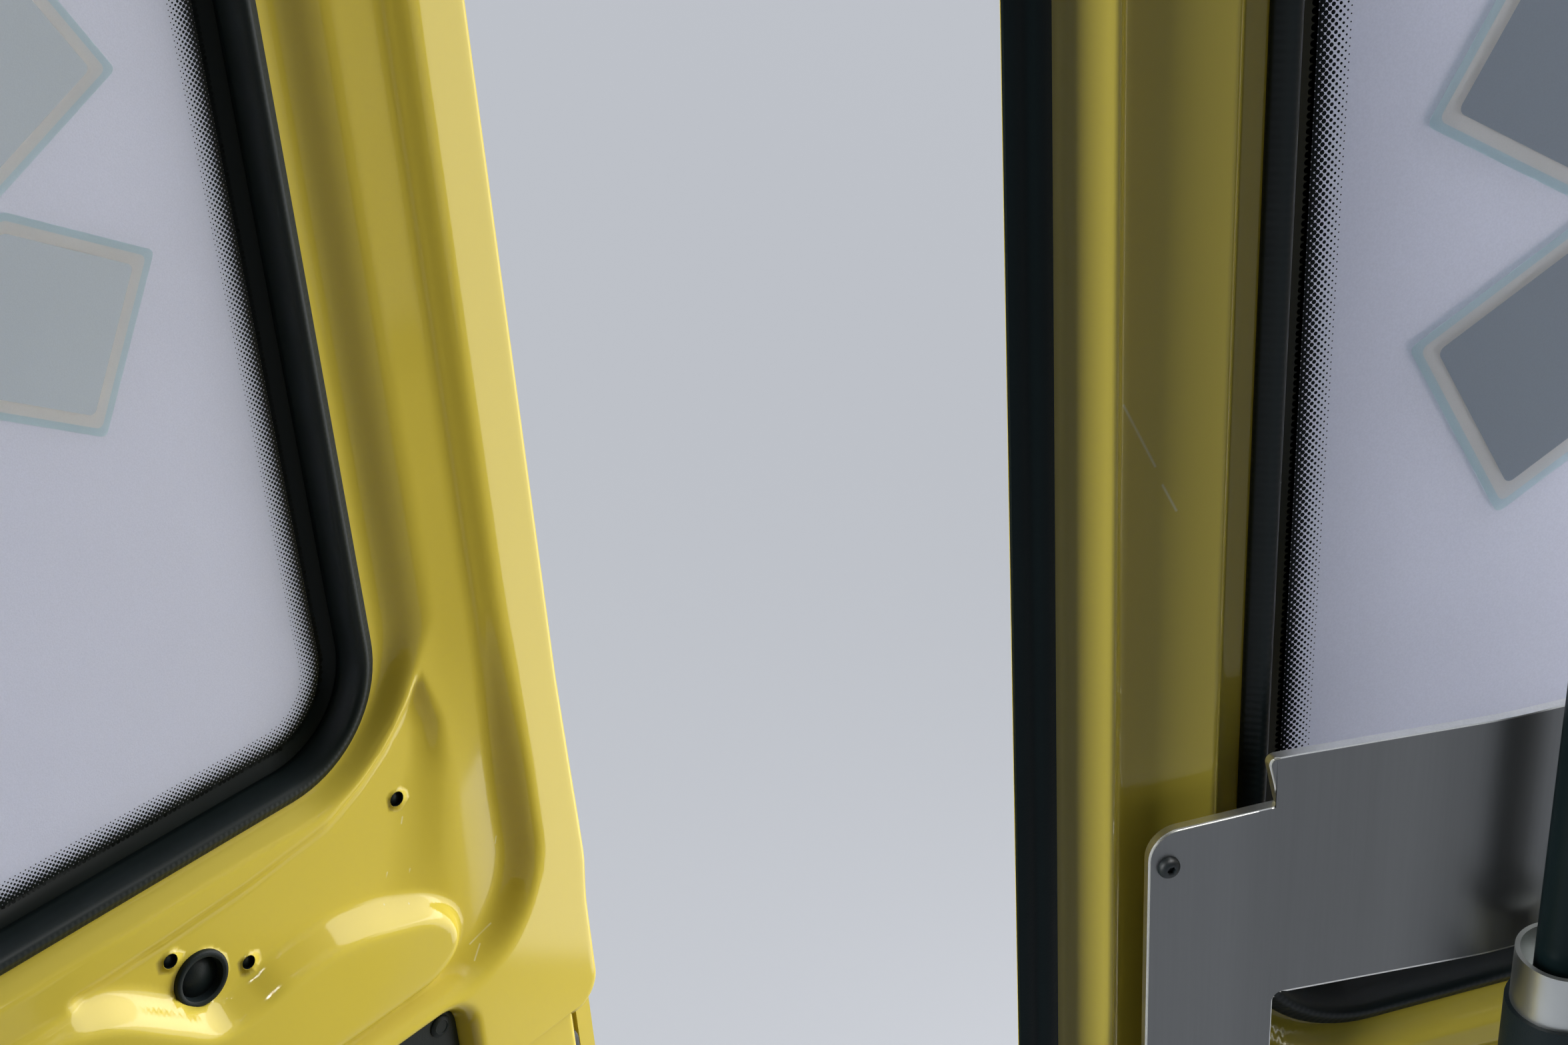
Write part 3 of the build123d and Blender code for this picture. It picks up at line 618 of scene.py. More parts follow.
sheetGrid = {  # start, end and spacing of the mesh lines, closer where the sheet bends
    "free": [(40.0, 58.0, 1.5), (58.0, 112.0, 2.2), (112.0, 332.0, 3.1), (332.0, midX, 7.0)],
    "hinge": [(36.0, 58.0, 2.0), (58.0, 112.0, 3.0), (112.0, 332.0, 4.0), (332.0, midX, 7.0)],
    "freeSpacing": {"left": 2.6, "right": 1.3}, "hingeSpacing": 4.5,
    "rows": [(-826.0, -800.0, 1.6), (-800.0, -745.0, 9.0), (-745.0, -734.0, 1.2), (-734.0, -460.0, 12.0),
             (-460.0, -442.0, 2.2), (-442.0, -436.0, 0.6), (-436.0, -404.0, 1.6), (-404.0, -378.0, 1.2),
             (-378.0, -240.0, 1.9), (-240.0, -204.0, 1.3), (-204.0, -140.0, 2.6), (-140.0, 350.0, 11.0),
             (350.0, 440.0, 3.4), (440.0, 505.0, 2.6), (505.0, 530.0, 1.8), (530.0, 560.0, 5.0),
             (560.0, 790.0, 12.0), (790.0, 830.0, 2.4)],
    "freePull": 34.0, "hingePull": 90.0,  # how far from an edge the lines follow it
}


def channelDepth(u, drop, side):  # the hollow round the window
    p = pressing
    low = ease(drop, *p["channelTurn"])
    beside, below = p["channelSlope"][side]
    slope = beside + (below - beside) * low
    deep = p["channelDepth"]
    within = insideDistance(u, drop, roundedPath(p["channelRows"]))
    start, fall = p["channelFall"][side]
    floor = softMin(start + fall * np.maximum(within, 0), deep, p["channelFloorSoft"])
    floor = deep + (floor - deep) * (1 - low)
    wall = floor + slope * np.minimum(within, p["channelReach"])
    return softMax(0, softMin(wall, floor, p["channelSoft"]), p["channelSoft"])


def pocketDepth(u, drop):  # the pocket in the channel's floor, under the window
    p = pressing
    top, end, floor, rim = p["pocketSofts"]
    ramp = np.interp(drop, *zip(*p["pocketRamp"])) * (u - np.interp(drop, *zip(*p["pocketRight"])))
    under = p["pocketTopSlope"] * (drop - np.interp(u, *zip(*p["pocketTop"])))
    depth = softMin(ramp, under, top)
    depth = softMin(depth, p["pocketEndSlope"] * (p["pocketEnd"] - u), end)
    depth = softMin(depth, p["pocketDepth"], floor)
    return softMax(depth, 0, rim) * ease(u, *p["pocketStart"]) * ease(p["pocketLow"] - drop, 0.0, p["pocketLowRoll"])


def addStep(depth, x, z, drop, side):  # down to the flange along the leaf's edges
    p = pressing
    (x0, x1), (z0, z1) = leaf["trimX"], leaf["trimZ"]
    out = p["stepBeside"]
    path = roundedPath(rectRows(x0 - out, x1 + out, z0 - p["stepBelow"], z1 + out, p["stepCorner"]))
    under = ease(drop, *p["stepTurn"])
    slope, soft = (a + (b - a) * under for a, b in (p["stepSlope"][side], p["stepSoft"][side]))
    step = p["stepDepth"] + slope * insideDistance(x, z, path)
    return softMax(depth, softMin(step, p["stepDepth"], soft), soft)


def openingDepth(x, z):  # the rolled recess for the lower trim panel
    p = pressing
    within = insideDistance(x, z, roundedPath(rectRows(*p["opening"])))
    roll = p["openingRoll"]
    curve = roll - np.sqrt(np.maximum(roll ** 2 - np.maximum(within + roll, 0) ** 2, 0))
    return np.where(within < 0, curve, np.minimum(roll + p["openingSlope"] * within, p["openingDepth"]))


def panelDepth(x, z, side):
    p = pressing
    u = midX - np.abs(x - midX) - leaf["freeEdge"]  # both sides of a leaf are pressed alike
    drop = trimLow - z
    depth = channelDepth(u, drop, side) + pocketDepth(u, drop)
    pad = insideDistance(u, drop, smoothLine(p["padLine"]))
    island = softMax(p["padMiddle"] - p["padSlope"] * pad, p["padLevel"], p["padSoft"])
    depth = softMin(depth, island, p["padBlend"])
    depth = addStep(depth, x, z, drop, side)
    field = p["fieldDepth"] + p["fieldSlope"] * insideDistance(x, z, roundedPath(rectRows(*p["field"])))
    depth = softMax(depth, softMin(field, p["fieldDepth"], p["fieldSoft"]), p["fieldSoft"])
    depth = np.maximum(depth, openingDepth(x, z))
    if side == "left":
        lap = ease(drop, p["lapDrop"], p["lapDrop"] + p["lapRise"])
        lap = lap * ease(p["lapDrop"] + p["notchHeight"] - drop, -p["lapRise"], 0)
        return softMax(depth, p["lapDepth"] * lap * ease(p["lapEnd"] - x, 0.0, p["lapRoll"]), p["lapSoft"])
    groove = leaf["passiveEdge"] + p["grooveWidth"]
    climb = np.clip((x - groove) / p["beadWidth"], 0, 1)
    lip = ease(x, groove, groove + p["lipWidth"])
    return depth + p["grooveDepth"] * (p["beadShare"] * (1 - climb) ** p["beadCurve"] + p["lipShare"] * (1 - lip))


def gridLines(*runs):  # grid lines from rows of start, end and spacing
    made = []
    for start, end, gap in runs:
        count = max(1, round((end - start) / gap))
        made += [start + (end - start) * k / count for k in range(count)]
    return np.array(made + [runs[-1][1]])


def edgeX(z, side, inset):  # where the free and hinge edges run at each height
    p = pressing
    low, high = leaf["bottom"] + leaf["inset"] + inset, leaf["top"] - leaf["inset"] - inset
    right = np.full(z.shape, leaf["hingeEdge"] - leaf["inset"] - inset)
    above, below = (corner - inset for corner in p["hingeCorners"])
    for centre, radius, sign in ((high - above, above, 1), (low + below, below, -1)):
        past = np.clip((z - centre) * sign, 0, radius)
        right -= radius - np.sqrt(radius ** 2 - past ** 2)
    if side == "right":
        left = np.full(z.shape, leaf["passiveEdge"])
    else:
        drop = trimLow - z
        left = leaf["freeEdge"] + np.interp(drop, *zip(*p["edgeLine"]))
        start, end = p["lapDrop"], p["lapDrop"] + p["notchHeight"]
        r = p["notchCorner"]
        past = np.clip(drop - (start - r), 0, r)
        left = left + np.where(drop <= start, r - np.sqrt(np.maximum(r * r - past * past, 0)), 0)
        left = np.where((drop > start) & (drop < end), leaf["freeEdge"] + p["notchSetback"], left)
        left += inset
    free = p["freeCorner"] - inset
    for centre, sign in ((high - free, 1), (low + free, -1)):
        past = np.clip((z - centre) * sign, 0, free)
        left = left + free - np.sqrt(free ** 2 - past ** 2)
    return left, right


def openHole(points, faces, hole, side):  # a round hole cut in the grid, with a rolled wall down to a floor; the black lower wall and floor are painted shade for the hole's shaded inside
    u, drop, radius = hole
    centre = np.array((leaf["freeEdge"] + u, trimLow - drop))
    flat = points[:, (0, 2)]
    near = np.linalg.norm(flat - centre, axis=1) < radius + sheetHoles["clearing"]
    near = set(np.flatnonzero(near).tolist())
    cut = [f for f in faces if any(v in near for v in f)]
    kept = [f for f in faces if not any(v in near for v in f)]
    edges = dict.fromkeys((a, b) for face in cut for a, b in zip(face, face[1:] + face[:1]))
    rim = {a: b for a, b in edges if (b, a) not in edges}
    loop = [next(iter(rim))]
    while rim[loop[-1]] != loop[0]:
        loop.append(rim[loop[-1]])
    count = sheetHoles["sides"]
    around = [2 * math.pi * k / count for k in range(count)]
    circle = np.array([(centre[0] + radius * math.cos(a), centre[1] + radius * math.sin(a)) for a in around])
    n = len(loop)
    flatPoints = [Vector(flat[i]) for i in loop] + [Vector(c) for c in circle]
    ring = [(k, (k + 1) % n) for k in range(n)] + [(n + k, n + (k + 1) % count) for k in range(count)]
    corners, _, triangles, origins, _, _ = delaunay_2d_cdt(flatPoints, ring, [], 1, 1e-7)
    base = len(points)
    number = [loop[origin[0]] if origin[0] < n else base + origin[0] - n for origin in origins]
    for triangle in triangles:
        middle = sum((np.array(corners[i]) for i in triangle), np.zeros(2)) / len(triangle)
        if np.linalg.norm(middle - centre) > radius * 0.99:  # only those outside the hole
            kept.append(tuple(number[i] for i in triangle))
    depth = panelDepth(circle[:, 0], circle[:, 1], side)
    levels = [(shrink, depth + sink) for shrink, sink in sheetHoles["wall"]]
    levels.append((levels[-1][0], np.full(count, depth.mean() + sheetHoles["depth"])))
    made = [points]
    for shrink, level in levels:
        shrunk = centre + (circle - centre) * shrink
        made.append(np.stack((shrunk[:, 0], leaf["face"] + level, shrunk[:, 1]), axis=1))
    wall = [(b, a, d, c) for a, b, c, d in ringFaces(len(levels), count, base)]
    floor = tuple(base + (len(levels) - 1) * count + k for k in range(count))
    # painted shade: the lower wall rings and the floor take the black slot, in place of the shade inside the hole
    holeShade = set(wall[count:] + [floor])
    return np.concatenate(made), kept + wall + [floor], holeShade


def flatSheet(side):  # the pressed sheet without its fold, its holes and its window, as a grid
    fold = pressing["fold"]
    edge = leaf["freeEdge"] if side == "left" else leaf["passiveEdge"]
    base = edge + fold
    hinge = leaf["hingeEdge"] - leaf["inset"] - fold
    near = gridLines((base, 40.0, sheetGrid["freeSpacing"][side]), *sheetGrid["free"])
    far = gridLines((2 * midX - hinge, 36.0, sheetGrid["hingeSpacing"]), *sheetGrid["hinge"])
    columns = np.concatenate((near, (2 * midX - far)[::-1][1:]))
    top, bottom = leaf["top"] - leaf["inset"] - fold, leaf["bottom"] + leaf["inset"] + fold
    rows = gridLines((bottom, bottom + 5, 1.0), (bottom + 5, sheetGrid["rows"][0][0], 7.0), *sheetGrid["rows"],
                     (sheetGrid["rows"][-1][1], top - 40, 4.0), (top - 40, top - 6, 2.0), (top - 6, top, 0.75))
    grid = np.tile(columns, (len(rows), 1))
    left, right = edgeX(rows, side, fold)
    reach, push = sheetGrid["freePull"], sheetGrid["hingePull"]
    for k, column in enumerate(columns):  # columns near an edge follow it
        free = np.clip((base + reach - column) / reach, 0, 1)
        far = np.clip((column - (hinge - push)) / push, 0, 1)
        grid[:, k] += free * (left - (base if side == "left" else edge)) + far * (right - hinge)
    if side == "right":
        grid[:, 0] = left
    z = np.tile(rows[:, None], (1, len(columns)))
    return grid, z


def foldEdge(points, faces, ring, side):  # the sheet's edge, rolled back to the outer skin
    fold = pressing["fold"]
    rim = points[ring]
    along = (np.roll(rim, -1, axis=0) - np.roll(rim, 1, axis=0))[:, (0, 2)]
    along /= np.linalg.norm(along, axis=1)[:, None]
    outward = np.stack((along[:, 1], -along[:, 0]), axis=1)
    if side == "right":  # the seal stands against this edge, so it isn't rolled
        outward[rim[:, 0] < leaf["passiveEdge"] + pressing["sealReach"]] *= 0
    made = [points]
    previous, count = ring, len(points)
    for degrees in (*pressing["foldTurns"], None):
        a = math.radians(degrees or 90)
        loop = rim.copy()
        loop[:, (0, 2)] += outward * fold * math.sin(a)
        loop[:, 1] = np.minimum(rim[:, 1] + fold * (1 - math.cos(a)), leaf["back"]) if degrees else leaf["back"]
        made.append(loop)
        current = list(range(count, count + len(ring)))
        for k in range(len(ring)):
            n = (k + 1) % len(ring)
            faces.append((previous[n], previous[k], current[k], current[n]))
        previous, count = current, count + len(ring)
    return np.concatenate(made)


def pressedPanel(side):
    grid, z = flatSheet(side)
    tall, wide = grid.shape
    points = np.stack((grid, leaf["face"] + panelDepth(grid, z, side), z), axis=2).reshape(-1, 3)
    opening = insideDistance(grid, z, roundedPath(windowRows(-pressing["windowCut"])))
    faces = []
    for j in range(tall - 1):
        for i in range(wide - 1):
            if opening[j:j + 2, i:i + 2].min() <= 0:
                a = j * wide + i
                faces.append((a, a + 1, a + wide + 1, a + wide))
    holeShadeFaces = set()
    for hole in sheetHoles["small"] + [sheetHoles["cap"]]:
        points, faces, holeShade = openHole(points, faces, hole, side)
        holeShadeFaces |= holeShade
    ring = list(range(wide)) + [j * wide + wide - 1 for j in range(1, tall)]
    ring += [(tall - 1) * wide + i for i in range(wide - 2, -1, -1)] + [j * wide for j in range(tall - 2, 0, -1)]
    points = foldEdge(points, faces, ring, side)
    # slot 1, black plastic, is the painted shade inside the holes
    slots = [int(f in holeShadeFaces) for f in faces]
    piece = makePiece(side + "PressedPanel", points, faces, side, [materials["body_paint"], blackPlastic],
                      closed=False, slots=slots)
    print("pressed panel", side, len(faces), "faces")
    dress(piece, side, "body_paint", side + "_inner_panel")


scratches = {  # from and to, as distance from the free edge and height over the trim's lower edge
    "width": 0.0007, "colour": (0.80, 0.74, 0.42),
    "left": [((131.7, -87.1), (123.6, -71.5)), ((117.4, -94.3), (109.4, -77.2)), ((82.0, -145.0), (66.5, -139.2)),
             ((84.5, -153.0), (77.0, -147.0)), ((109.0, -47.0), (107.6, -43.5)), ((52.0, -92.0), (50.6, -88.0))],
    "right": [((47.7, 315.7), (60.0, 290.0)), ((63.0, 282.0), (68.5, 270.9)), ((150.0, -92.0), (171.0, -99.0)),
              ((520.0, -70.0), (541.0, -88.0))],
}


def drawScratches():
    wiring = paint.wiring
    mask = None
    rows = [(side, ends) for side in ("left", "right") for ends in scratches[side]]
    for row, (side, ends) in enumerate(rows):
        x, z = (np.array(ends) + (leaf["freeEdge"], trimLow)).T
        points = toPart(np.stack((x, leaf["face"] + panelDepth(x, z, side), z), axis=1), side)
        at = (-900, -300 - 200 * row)
        mark = wiring.add("ShaderNodeGroup", at, node_tree=scratchGroup, Start=points[0], End=points[1],
                          Width=scratches["width"])
        wiring.join(paint.coords, mark.inputs["Vector"])
        mask = mark.outputs[0] if mask is None else wiring.math("MAXIMUM", (-650, at[1]), mask, mark.outputs[0])
    pale = wiring.add("ShaderNodeMix", (-300, 100), data_type="RGBA")
    wiring.join(mask, pale.inputs[0])
    wiring.join(paint.grain.outputs["Color"], pale.inputs[6])
    pale.inputs[7].default_value = (*scratches["colour"], 1)
    wiring.join(pale.outputs[2], paint.bsdf.inputs["Base Color"])


for side in ("left", "right"):
    pressedPanel(side)
drawScratches()

# windows: rubber trim, fired black border with its dots, and the film bars

window = {
    "trimSection": [(0.0, -20.1), (0.1, -21.6), (1.0, -22.7), (2.6, -23.4), (4.4, -24.6), (5.8, -25.7), (7.0, -26.0),
                    (8.4, -25.9), (9.6, -25.2), (10.8, -23.4), (11.8, -20.0), (12.6, -15.5), (13.3, -11.5),
                    (13.9, -8.6), (13.2, -8.3), (8.1, -8.3), (8.0, -20.0)],
    "ribPitch": 3.2, "ringSpacing": 30.0,
    "border": (-11.8, 25.0),  # from under the trim to where the fired border ends
    "ink": 0.12, "gap": 0.02,
    "glass": (-8.0, -3.0),
    "outerSeal": [(-14.9, -6.0), (-14.9, -1.6), (-14.2, -0.9), (-12.6, -0.9), (-11.6, -1.7), (-10.4, -2.9),
                  (-12.1, -3.0), (-12.1, -6.0)],
}
dots = {  # metres, as the tree's inputs take them
    "Pitch": 0.00195, "Largest": 0.00125, "Smallest": 0.0003,
    "Reach": 0.0125,  # how far in from the border's edge they go
    "Lap": -0.002,  # and where they start, a little way under the border
}
film = {
    "near": 185.7, "middle": 346.2,  # near corner of the bars and their middle height
    "halfGap": 45.4, "slit": 12.5, "width": 71.5, "length": 150.0, "slope": 30.0,
    "layers": (("filmLine", 8.9), ("filmBorder", 5.4), ("filmFill", 0.0)),  # how far each reaches out
    "step": 0.12, "corner": 3.0,
}


def sweepRing(name, section, side, mat, alongName=None, pitch=1.0):  # a section drawn round the window
    path = roundedPath(windowRows(0), 5.0)
    runs = []
    for a, b in zip(path, np.roll(path, -1, axis=0)):  # long straights get a few more rings
        pieces = max(1, int(np.linalg.norm(b - a) // window["ringSpacing"]))
        runs += [a + (b - a) * k / pieces for k in range(pieces)]
    path = np.array(runs)
    ahead = np.roll(path, -1, axis=0) - path
    ahead /= np.linalg.norm(ahead, axis=1)[:, None]
    tangent = ahead + np.roll(ahead, 1, axis=0)
    tangent /= np.linalg.norm(tangent, axis=1)[:, None]
    outward = np.stack((tangent[:, 1], -tangent[:, 0]), axis=1)
    count, around = len(path), len(section)
    points = [(p[0] - n[0] * s, y, p[1] - n[1] * s) for p, n in zip(path, outward) for s, y in section]
    piece = makePiece(name, points, ringFaces(count, around, closed=True), side, [mat])
    if alongName:  # distance along the path in rib pitches, and across the section
        steps = np.linalg.norm(np.roll(path, -1, axis=0) - path, axis=1)
        travel = np.concatenate(([0], np.cumsum(steps)))
        travel *= round(travel[-1] / pitch) / travel[-1]
        layer = piece.data.uv_layers.new(name=alongName)
        for poly in piece.data.polygons:
            i = min(v // around for v in poly.vertices)
            last = any(v // around == count - 1 for v in poly.vertices) and i == 0
            for corner in poly.loop_indices:
                v = piece.data.loops[corner].vertex_index
                ringNumber = v // around
                if last and ringNumber == 0:
                    ringNumber = count
                layer.data[corner].uv = (travel[ringNumber], (v % around) / around)
    return piece


def flatPlate(name, path, y0, y1, side, mat):  # a thin plate on an outline in the leaf's plane
    count = len(path)
    points = [(x, y0, z) for x, z in path] + [(x, y1, z) for x, z in path]
    faces = [tuple(range(count)), tuple(range(2 * count - 1, count - 1, -1))]
    faces += [(k, (k + 1) % count, count + (k + 1) % count, count + k) for k in range(count)]
    return makePiece(name, points, faces, side, [mat], smooth=False)


def flatFrame(name, outer, inner, y0, y1, side, mat):  # a thin frame between two outlines
    loops = [(outer, y0), (outer, y1), (inner, y1), (inner, y0)]
    points = [(x, y, z) for path, y in loops for x, z in path]
    return makePiece(name, points, ringFaces(4, len(outer), closed=True), side, [mat], smooth=False)


def endTree(wiring, spread, material, result):  # instances made real, and given their material
    real = wiring.add("GeometryNodeRealizeInstances", (1000, 0))
    wiring.join(spread.outputs[0], real.inputs[0])
    dressed = wiring.add("GeometryNodeSetMaterial", (1200, 0))
    wiring.join(real.outputs[0], dressed.inputs["Geometry"])
    wiring.join(material, dressed.inputs["Material"])
    wiring.join(dressed.outputs[0], result[0])


def makeDotTree():  # dots on a slanted lattice, shrinking away from the black border
    tree = bpy.data.node_groups.new("fritDots", "GeometryNodeTree")
    socket(tree, "Geometry", "INPUT", "Geometry")
    for label in ("Pitch", "Reach", "Lap", "Largest", "Smallest", "Border", "Radius", "Half Width", "Half Height"):
        socket(tree, label, "INPUT", "Float", 0.01)
    socket(tree, "Ink", "INPUT", "Material")
    socket(tree, "Geometry", "OUTPUT", "Geometry")
    wiring = Wiring(tree)
    given = wiring.add("NodeGroupInput", (-1600, 0)).outputs
    result = wiring.add("NodeGroupOutput", (1400, 0)).inputs
    span = wiring.math("ADD", (-1400, 200), given["Half Width"], given["Half Height"])
    size = wiring.math("MULTIPLY", (-1240, 200), span, 1.5)  # covers the window once it is turned
    count = wiring.math("DIVIDE", (-1080, 260), size, given["Pitch"])
    grid = wiring.add("GeometryNodeMeshGrid", (-900, 300))
    for label in ("Size X", "Size Y"):
        wiring.join(size, grid.inputs[label])
    for label in ("Vertices X", "Vertices Y"):
        wiring.join(count, grid.inputs[label])
    turned = wiring.add("GeometryNodeTransform", (-700, 300), Rotation=(0, 0, math.radians(45)))
    wiring.join(grid.outputs["Mesh"], turned.inputs["Geometry"])
    place = wiring.add("GeometryNodeInputPosition", (-1400, -200)).outputs[0]
    axes = wiring.add("ShaderNodeSeparateXYZ", (-1200, -200))
    wiring.join(place, axes.inputs[0])
    inner = wiring.math("SUBTRACT", (-1200, -400), given["Radius"], given["Border"])
    overs = []
    for row, (axis, half) in enumerate((("X", "Half Width"), ("Y", "Half Height"))):
        reach = wiring.math("SUBTRACT", (-1000, -200 - 160 * row), given[half], given["Radius"])
        far = wiring.math("ABSOLUTE", (-1000, -280 - 160 * row), axes.outputs[axis])
        overs.append(wiring.math("SUBTRACT", (-820, -200 - 160 * row), far, reach))
    corner = wiring.add("ShaderNodeCombineXYZ", (-460, -200))
    for over, label in zip(overs, ("X", "Y")):
        wiring.join(wiring.math("MAXIMUM", (-640, -200), over, 0.0), corner.inputs[label])
    outside = wiring.vector("LENGTH", (-280, -200), corner.outputs[0])
    inside = wiring.math("MINIMUM", (-280, -360), wiring.math("MAXIMUM", (-460, -360), *overs), 0.0)
    distance = wiring.math("SUBTRACT", (60, -200), wiring.math("ADD", (-100, -200), outside, inside), inner)
    depth = wiring.math("MULTIPLY", (220, -200), distance, -1.0)  # how far in from the border's edge
    beyond = wiring.math("GREATER_THAN", (380, -100), depth, given["Reach"])
    under = wiring.math("LESS_THAN", (380, -260), depth, given["Lap"])
    drop = wiring.math("MAXIMUM", (540, -160), beyond, under)
    trimmed = wiring.add("GeometryNodeDeleteGeometry", (560, 300), domain="POINT")
    wiring.join(turned.outputs[0], trimmed.inputs["Geometry"])
    wiring.join(drop, trimmed.inputs["Selection"])
    scale = wiring.add("ShaderNodeMapRange", (560, -360), From_Min=0.0)
    wiring.join(depth, scale.inputs["Value"])
    for label, key in (("From Max", "Reach"), ("To Min", "Largest"), ("To Max", "Smallest")):
        wiring.join(given[key], scale.inputs[label])
    disc = wiring.add("GeometryNodeMeshCircle", (560, 100), Vertices=8, Radius=1.0)
    disc.fill_type = "NGON"
    spread = wiring.add("GeometryNodeInstanceOnPoints", (800, 200))
    wiring.join(trimmed.outputs[0], spread.inputs["Points"])
    wiring.join(disc.outputs[0], spread.inputs["Instance"])
    wiring.join(scale.outputs[0], spread.inputs["Scale"])
    endTree(wiring, spread, given["Ink"], result)
    return tree


def growTree(name, tree, values, seedMesh=None):  # runs a tree and keeps its result as a plain mesh
    host = addObject(name + "Seed", seedMesh or bpy.data.meshes.new(name + "Seed"))
    modifier = host.modifiers.new("build", "NODES")
    modifier.node_group = tree
    for item in tree.interface.items_tree:
        if item.item_type == "SOCKET" and item.in_out == "INPUT" and item.name in values:
            modifier[item.identifier] = values[item.name]
    graph = bpy.context.evaluated_depsgraph_get()
    mesh = bpy.data.meshes.new_from_object(host.evaluated_get(graph))
    mesh.name = name
    host.modifiers.remove(modifier)
    bpy.data.objects.remove(host)
    return mesh


def fritDots(side, tree):
    (x0, x1), (z0, z1) = leaf["trimX"], leaf["trimZ"]
    values = dict(dots, Ink=fritInk, Radius=leaf["windowRadius"] / 1000, Border=window["border"][1] / 1000)
    values["Half Width"] = (x1 - x0) / 2000
    values["Half Height"] = (z1 - z0) / 2000
    mesh = growTree(side + "FritDots", tree, values)
    flat = np.empty(len(mesh.vertices) * 3)
    mesh.vertices.foreach_get("co", flat)
    flat = flat.reshape(-1, 3) * 1000
    y = window["glass"][0] - window["ink"]
    placed = np.stack((flat[:, 0] + midX, np.full(len(flat), y), flat[:, 1] + (z0 + z1) / 2), axis=1)
    mesh.vertices.foreach_set("co", toPart(placed, side).ravel())
    if side == "left":
        mesh.flip_normals()
    mesh.update()
    return addObject(side + "FritDots", mesh)


def barPath(up, grow):  # one slanted bar of the window's arrow, as a rounded outline
    nearX, middle = film["near"], film["middle"]
    slope = math.radians(film["slope"])
    ahead = np.array((math.cos(slope), math.sin(slope)))
    across = np.array((math.sin(slope), -math.cos(slope)))
    cut = -film["slit"]  # the bar stops at the slit between the two
    corner = np.array((nearX, -film["halfGap"]))
    low = corner + across * film["width"]
    end = low + ahead * film["length"]
    slant = end + across * (cut - end[1]) / across[1]
    upper = corner + ahead * (cut - corner[1]) / ahead[1]
    corners = np.array((corner, low, end, slant, upper))
    rows = []
    for i, point in enumerate(corners):  # each side moved in by the layer's inset
        before = corners[i - 1] - point
        after = corners[(i + 1) % 5] - point
        before /= np.linalg.norm(before)
        after /= np.linalg.norm(after)
        inward = before + after
        inward /= np.linalg.norm(inward)
        half = math.acos(np.clip(before @ after, -1, 1)) / 2
        moved = point - inward * grow / math.sin(half)
        height = -moved[1] if up else moved[1]
        rows.append((leaf["freeEdge"] + moved[0], trimLow + middle + height, film["corner"]))
    return roundedPath(rows[::-1] if up else rows, 15.0)


def windowFilms(side):  # two slanted bars on both faces of the glass, each a line, a border and a fill
    (glassIn, glassOut), gap = window["glass"], window["gap"]
    for number, up in enumerate((False, True)):
        paths = [barPath(up, inset) for name, inset in film["layers"]]
        for face, y, out in (("Inner", glassIn, -1), ("Outer", glassOut, 1)):
            near, far = sorted((y + out * gap, y + out * film["step"]))
            for level, (name, inset) in enumerate(film["layers"]):
                label = side + face + name[0].upper() + name[1:] + str(number)
                if level < len(paths) - 1:
                    plate = flatFrame(label, paths[level], paths[level + 1], near, far, side, films[name])
                else:
                    plate = flatPlate(label, paths[level], near, far, side, films[name])
                dress(plate, side, "frosted_glass")


def dressWindow(side, dotTree):
    trim = sweepRing(side + "RubberTrim", window["trimSection"], side, trimRubber, "alongTrim", window["ribPitch"])
    dress(trim, side, "black_rubber", side + "_window_trim")
    (glassIn, glassOut), ink, gap = window["glass"], window["ink"], window["gap"]
    start, end = window["border"]
    for face, y0, y1 in (("Inner", glassIn - ink, glassIn - gap), ("Outer", glassOut + gap, glassOut + ink)):
        section = [(start, y0), (end, y0), (end, y1), (start, y1)]
        dress(sweepRing(side + face + "Border", section, side, fritInk), side, "black_plastic")
    outerSeal = sweepRing(side + "OuterSeal", window["outerSeal"], side, materials["black_rubber"])
    dress(outerSeal, side, "black_rubber")
    dress(fritDots(side, dotTree), side, "black_plastic")
    windowFilms(side)


films = {name: makeFinish(name).mat for name, inset in film["layers"]}
dotTree = makeDotTree()
for side in ("left", "right"):
    dressWindow(side, dotTree)
print("windows fitted")

# pieces made of outlines joined one to the next


def atLevel(path, y):  # an outline of x and z, set at its y
    return np.stack((path[:, 0], np.full(len(path), y), path[:, 1]), axis=1)


def atHeight(path, z):  # an outline of x and y
    return np.stack((path[:, 0], path[:, 1], np.full(len(path), z)), axis=1)


def atReach(path, x):  # an outline of y and z
    return np.stack((np.full(len(path), x), path[:, 0], path[:, 1]), axis=1)


def circlePath(centre, radius, count=40):
    around = np.linspace(0, 2 * math.pi, count, endpoint=False)
    return np.stack((centre[0] + radius * np.cos(around), centre[1] + radius * np.sin(around)), axis=1)


def rectRings(edges, corner, rows):  # rounded rectangles from rows of inset and level
    x0, x1, z0, z1 = edges
    radius, share, least = corner  # the corner's radius, its loss for each millimetre of inset, and its least
    rings = []
    for inset, y in rows:
        outline = rectRows(x0 + inset, x1 - inset, z0 + inset, z1 - inset, max(radius - inset * share, least))
        rings.append(atLevel(roundedPath(outline, 9.0), y))
    return rings


def roundRings(centre, rows, count=40):  # circles from rows of radius and level
    return [atLevel(circlePath(centre, radius, count), y) for radius, y in rows]


def joinRings(name, rings, side, mats, slots=(), crease=38):  # both ends are closed
    count, last = len(rings[0]), (len(rings) - 1) * len(rings[0])
    faces = [tuple(range(count))] + ringFaces(len(rings), count) + [tuple(range(last, last + count))]
    ringSlots = slots or (0,) * (len(rings) - 1)
    faceSlots = [0] + [slot for slot in ringSlots for k in range(count)] + [ringSlots[-1]]
    return edgeSharp(makePiece(name, np.concatenate(rings), faces, side, mats, slots=faceSlots), crease)


def ringPiece(name, rings, side, slot, *nodes, mats=None, slots=(), crease=38):  # joined and handed over
    dress(joinRings(name, rings, side, mats or [materials[slot]], slots, crease), side, slot, *nodes)


